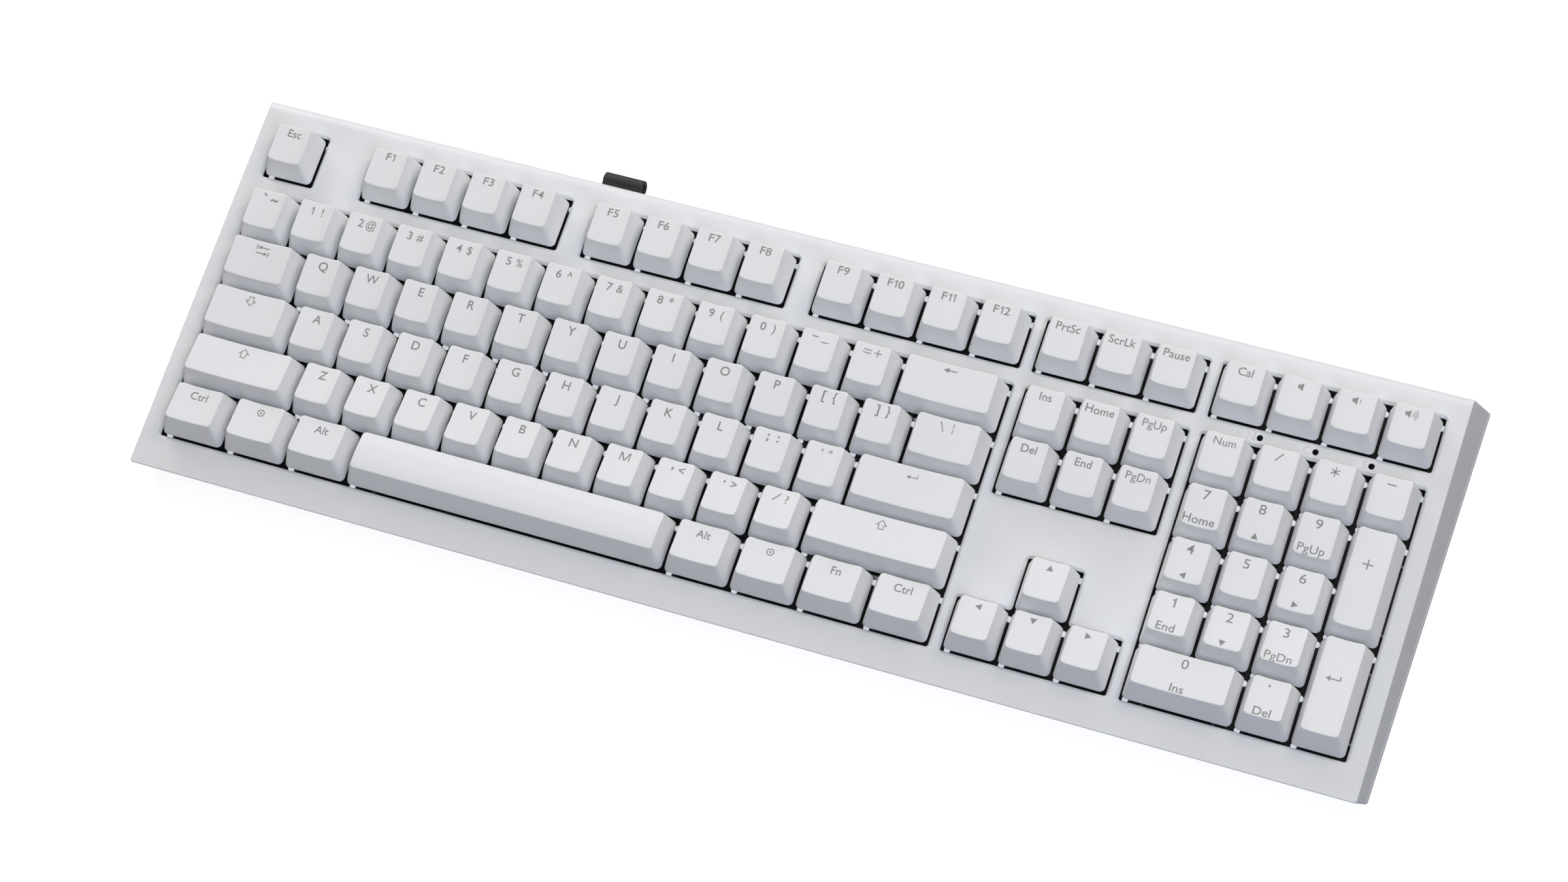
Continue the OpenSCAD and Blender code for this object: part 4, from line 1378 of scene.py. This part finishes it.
def foot_profile():
    """Side view of a tilt foot, counter-clockwise: barrel to the rear, flap to the front."""
    tip_y = -FOOT_LENGTH + 0.7
    return (arc(0, 0, 2.3, -55.7, 55.7, 12) + [(-6, 1.9), (-12, 1.9), (-18, 1.9)]
            + arc(tip_y, 1.2, 0.7, 90, 180, 4) + arc(tip_y, -1.2, 0.7, 180, 270, 4)
            + [(-18, -1.9), (-12, -1.9), (-6, -1.9)])


def foot_flap(pivot):
    stations = [(-20, 0.4), (-19.88, 0.12), (-19.6, 0.0), (-10, 0), (0, 0), (10, 0),
                (19.6, 0.0), (19.88, 0.12), (20, 0.4)]
    pins = [turned(profile, pivot, 28, "x")
            for profile in ([(1.0, -22.6), (1.3, -22.3), (1.3, -19.9)],
                            [(1.3, 19.9), (1.3, 22.3), (1.0, 22.6)])]
    return join([x_run(foot_profile(), stations, pivot)] + pins)


def foot_tip(pivot):
    """Rubber strip along the end of the flap, with grooves across it."""
    profile = rounded_rect(-FOOT_LENGTH - 2, -FOOT_LENGTH, -1.7, 1.7, 0.55, 2, 3, 4)
    stations = [(-19, 0.4), (-18.9, 0.12), (-18.7, 0)]
    x = -18.0
    while x < 18:
        stations += [(x, 0), (x + 0.15, 0.28), (x + 0.5, 0.28), (x + 0.65, 0)]
        x += 1.8
    stations += [(18.7, 0), (18.9, 0.12), (19, 0.4)]
    return x_run(profile, stations, pivot)


def build_tilt_feet():
    for side, word_for_side in ((-1, "left"), (1, "right")):
        pivot = (side * FOOT_X, PIVOT_Y, PIVOT_Z)
        body = f"foot_{word_for_side}"
        bm = foot_flap(pivot)
        mm_to_world(bm)
        piece(f"tilt_foot_{word_for_side}_flap", bm, [FOOT], body, sharp=35,
              replaces=f"tilt_foot_{word_for_side}")
        bm = foot_tip(pivot)
        mm_to_world(bm)
        piece(f"foot_pad_{word_for_side}_rubber", bm, [FOOT_RUBBER], body, sharp=35,
              replaces=f"foot_pad_{word_for_side}")


def build_rubber_feet():
    """Four pads with a rounded lower edge and a shallow groove round the underside."""
    # inset, height
    stations = ((0, 2.25), (0, 0.7), (0.07, 0.4), (0.25, 0.17), (0.6, 0.0), (1.5, 0.0),
                (1.65, 0.25), (2.1, 0.25), (2.25, 0.0))
    feet = []
    for x, y in PAD_PLACES:
        feet.append(loft([at_height(rounded_rect(
            x - 15.8 + inset, x + 15.8 - inset, y - 4.8 + inset, y + 4.8 - inset,
            max(0.5, 3 - inset), 8, 3, 8), z) for inset, z in stations]))
    bm = join(feet)
    mm_to_world(bm)
    piece("rubber_feet_pads", bm, [FOOT_RUBBER], "case", sharp=40, replaces="rubber_feet")


# ---------------------------------------------------------------- rear strap and pegs with painted light
TAG_THICK = 1.15
TAG_SINK = 0.12     # depth of the line round the upper face


def tag_paths():
    """Side view of the folded strap, (y from the wall, z from its middle): outer, inner."""
    outer = [(-3.2, 2.0), (-1.6, 2.0), (0.4, 2.05), (1.6, 2.3), (2.6, 2.75)]
    outer += arc(3.15, 0, 3.0, 100, -100, 14)
    outer += [(2.6, -2.75), (1.6, -2.3), (0.4, -2.05), (-1.6, -2.0), (-3.2, -2.0)]
    inner = [tuple(Vector(p) + normal_at(outer, i) * TAG_THICK) for i, p in enumerate(outer)]
    return outer[::-1], inner


def build_rear_tag():
    outer, inner = tag_paths()
    # finer points along the outer face, each with its distance from the lower end
    path, distances, total = [], [], 0.0
    for a, b in zip(outer, outer[1:]):
        a, b = Vector(a), Vector(b)
        length = (b - a).length
        steps = max(1, int(length / 0.22))
        for k in range(steps):
            path.append(a.lerp(b, k / steps))
            distances.append(total + length * k / steps)
        total += length
    path.append(Vector(outer[-1]))
    distances.append(total)

    # x, inset of the rounded side edges
    edge = [(7.5, 0.3), (7.4, 0.1), (7.15, 0.02), (6.8, 0.0)]
    stations = [(-x, inset) for x, inset in edge]
    stations += [(round(-6.4 + 0.2 * k, 3), 0.0) for k in range(65)]
    stations += edge[::-1]
    sections = []
    for x, inset in stations:
        section = []
        for i, point in enumerate(path):
            # the upper face runs from the wall to the fold, which is halfway
            along = total - distances[i]
            inside = abs(x) <= 6.15 and 2.6 <= along <= total / 2 - 1.0
            core = abs(x) <= 5.85 and 2.9 <= along <= total / 2 - 1.3
            sink = TAG_SINK if inside and not core else 0.0
            section.append(point - normal_at(path, i) * (inset + sink))
        for i, point in enumerate(inner):
            section.append(Vector(point) - normal_at(inner, i) * inset * 0.8)
        sections.append([(TAG_X + x, Y_REAR + q.x, TAG_Z + q.y) for q in section])
    bm = loft(sections)
    deck_to_world(bm)
    piece("rear_tag_strap", bm, [TAG], "case", sharp=50, replaces="rear_tag")


def build_light_spot_pegs():
    """Small pale pegs with round heads, at the rear right and front left of each cell, whose painted
    glow stands in for spots of light seen between the keycaps.
    """
    # radius, height
    profile = [(0.6, 0.0), (0.6, 0.8), (1.0, 1.1), (1.08, 1.5), (1.0, 1.9), (0.65, 2.2),
               (0.15, 2.28)]
    pegs = []
    for cap in KEYS:
        for x, y in ((cap.left + cap.width - 1.075, cap.front + cap.depth - 1.675),
                     (cap.left + 1.175, cap.front + 1.575)):
            pegs.append(turned(profile, (x, y, PLATE_TOP - 0.02), 12))
    bm = join(pegs)
    deck_to_world(bm)
    # the pegs carry painted light: their glow stands in for light falling through the gaps
    piece("painted_light_pegs", bm, [PAINTED_GLOW_PEG], "case", sharp=60)


build_bottom_case()
build_tilt_feet()
build_rubber_feet()
build_rear_tag()
build_light_spot_pegs()

# ---------------------------------------------------------------- materials of the CAD nodes
PAINT = {
    "top_case": CASE, "bottom_case": CASE, "switch_plate": PLATE, "circuit_board": BOARD,
    "switch_bases": SWITCH, "switch_covers": SWITCH, "switch_springs": SPRING,
    "switch_contacts": CONTACT, "stabilizer_housings": SWITCH, "stabilizer_wires": WIRE,
    "matrix_diodes": CHIP, "controller_chip": CHIP, "indicator_leds": LAMP,
    "usb_socket": SOCKET, "case_screws": SCREW, "plate_screws": SCREW,
    "rubber_feet": FOOT_RUBBER, "rear_tag": TAG, "tilt_foot_left": FOOT,
    "tilt_foot_right": FOOT, "foot_pad_left": FOOT_RUBBER, "foot_pad_right": FOOT_RUBBER,
}
for name, material in PAINT.items():
    for slot in frame["nodes"][name].material_slots:
        slot.material = material


# ---------------------------------------------------------------- floor
def floor_material():
    """Bright to the camera, darker to bounced light, clear from below and to shadow rays."""
    s = Shader("floor_mat", base=(0.86, 0.86, 0.865), roughness=0.7)
    rays = s.nodes.new("ShaderNodeLightPath").outputs
    seen = rays["Is Camera Ray"]
    pale = s.mix(s.remap(s.noise(3.0), 0.0, 1.0), (0.38, 0.38, 0.382), (0.40, 0.40, 0.402))
    s.link(s.mix(seen, (0.36, 0.37, 0.40), pale), s.inputs["Base Color"])
    s.inputs["Emission Color"].default_value = (1, 1, 1, 1)
    s.link(s.math("MULTIPLY", seen, 0.80), s.inputs["Emission Strength"])
    output = next(n for n in s.nodes if n.type == "OUTPUT_MATERIAL")
    clear = s.nodes.new("ShaderNodeBsdfTransparent")
    pick = s.nodes.new("ShaderNodeMixShader")
    from_below = s.nodes.new("ShaderNodeNewGeometry").outputs["Backfacing"]
    s.link(s.math("MAXIMUM", from_below, rays["Is Shadow Ray"]), pick.inputs[0])
    s.link(s.nodes["Principled BSDF"].outputs[0], pick.inputs[1])
    s.link(clear.outputs[0], pick.inputs[2])
    s.link(pick.outputs[0], output.inputs["Surface"])
    return s.material


def build_floor():
    bm = bmesh.new()
    bmesh.ops.create_grid(bm, x_segments=8, y_segments=8, size=6.0)
    mesh = bpy.data.meshes.new("floor")
    bm.to_mesh(mesh)
    bm.free()
    floor = new_object("floor", mesh)
    mesh.materials.append(floor_material())


build_floor()

# ---------------------------------------------------------------- light
world = bpy.data.worlds.new("studio")
bpy.context.scene.world = world
world.use_nodes = True
background = world.node_tree.nodes["Background"].inputs
background["Color"].default_value = (0.93, 0.95, 1.0, 1)
background["Strength"].default_value = 0.06


def area_light(name, place, aim, size, power, color):
    light = bpy.data.lights.new(name, "AREA")
    light.shape = "RECTANGLE"
    light.size, light.size_y = size
    light.energy = power
    light.color = color
    ob = new_object(name, light)
    ob.location = place
    ob.rotation_euler = (Vector(aim) - Vector(place)).to_track_quat("-Z", "Y").to_euler()


SOFT_DISTANCE = 1.5
# name, direction and elevation in degrees, power, colour
SOFT_LIGHTS = (
    ("under_light", 0, -90, 5.0, (1.0, 1.0, 1.0)),
    ("rear_light", 90, 22, 5.41, (0.729, 0.837, 1.0)),
    ("rear_left_light", 135, 22, 9.94, (1.0, 0.974, 0.948)),
    ("front_left_light", 225, 22, 2.70, (1.0, 0.886, 0.664)),
    ("high_rear_light", 45, 55, 10.32, (1.0, 0.917, 0.75)),
    ("high_front_light", 315, 55, 9.68, (0.733, 0.822, 1.0)),
)
for name, direction, elevation, power, color in SOFT_LIGHTS:
    a, e = math.radians(direction), math.radians(elevation)
    place = (SOFT_DISTANCE * math.cos(e) * math.cos(a), SOFT_DISTANCE * math.cos(e) * math.sin(a),
             SOFT_DISTANCE * math.sin(e))
    area_light(name, place, aim=(0, 0, 0), size=(0.8, 0.8), power=power, color=color)
area_light("near_light", (-0.25, 0.0, 0.65), aim=(-0.15, 0, 0), size=(0.4, 0.3), power=0.59,
           color=(0.975, 0.991, 1.0))

# ---------------------------------------------------------------- camera
# Turn (axis times angle) and shift from the deck frame, with x from the key field's left
# edge, to camera axes: right, down, forward.
CAMERA_TURN = Vector((2.78554527, 0.414993738, -0.324551786))
CAMERA_SHIFT = Vector((-219.117021, -2.33135544, 1318.98478))


def deck_direction(v):
    """Deck direction to world direction."""
    return Vector((v.x, v.y * COS - v.z * SIN, v.y * SIN + v.z * COS))


def build_camera():
    data = bpy.data.cameras.new("camera")
    camera = new_object("camera", data)
    bpy.context.scene.camera = camera
    data.sensor_fit = "HORIZONTAL"
    data.sensor_width = 36.0
    data.lens = 86.047
    data.clip_start, data.clip_end = 0.05, 20
    to_camera = Matrix.Rotation(CAMERA_TURN.length, 3, CAMERA_TURN.normalized())
    eye = -(to_camera.transposed() @ CAMERA_SHIFT)
    right, down, forward = (deck_direction(to_camera[i]) for i in range(3))
    pose = Matrix((right, -down, -forward)).transposed().to_4x4()
    pose.translation = world_point(eye.x - FIELD / 2, eye.y, eye.z)
    camera.matrix_world = pose


build_camera()

view = bpy.context.scene.view_settings
view.view_transform = "Standard"
view.look = "None"
view.exposure = 0.0
view.gamma = 1.0
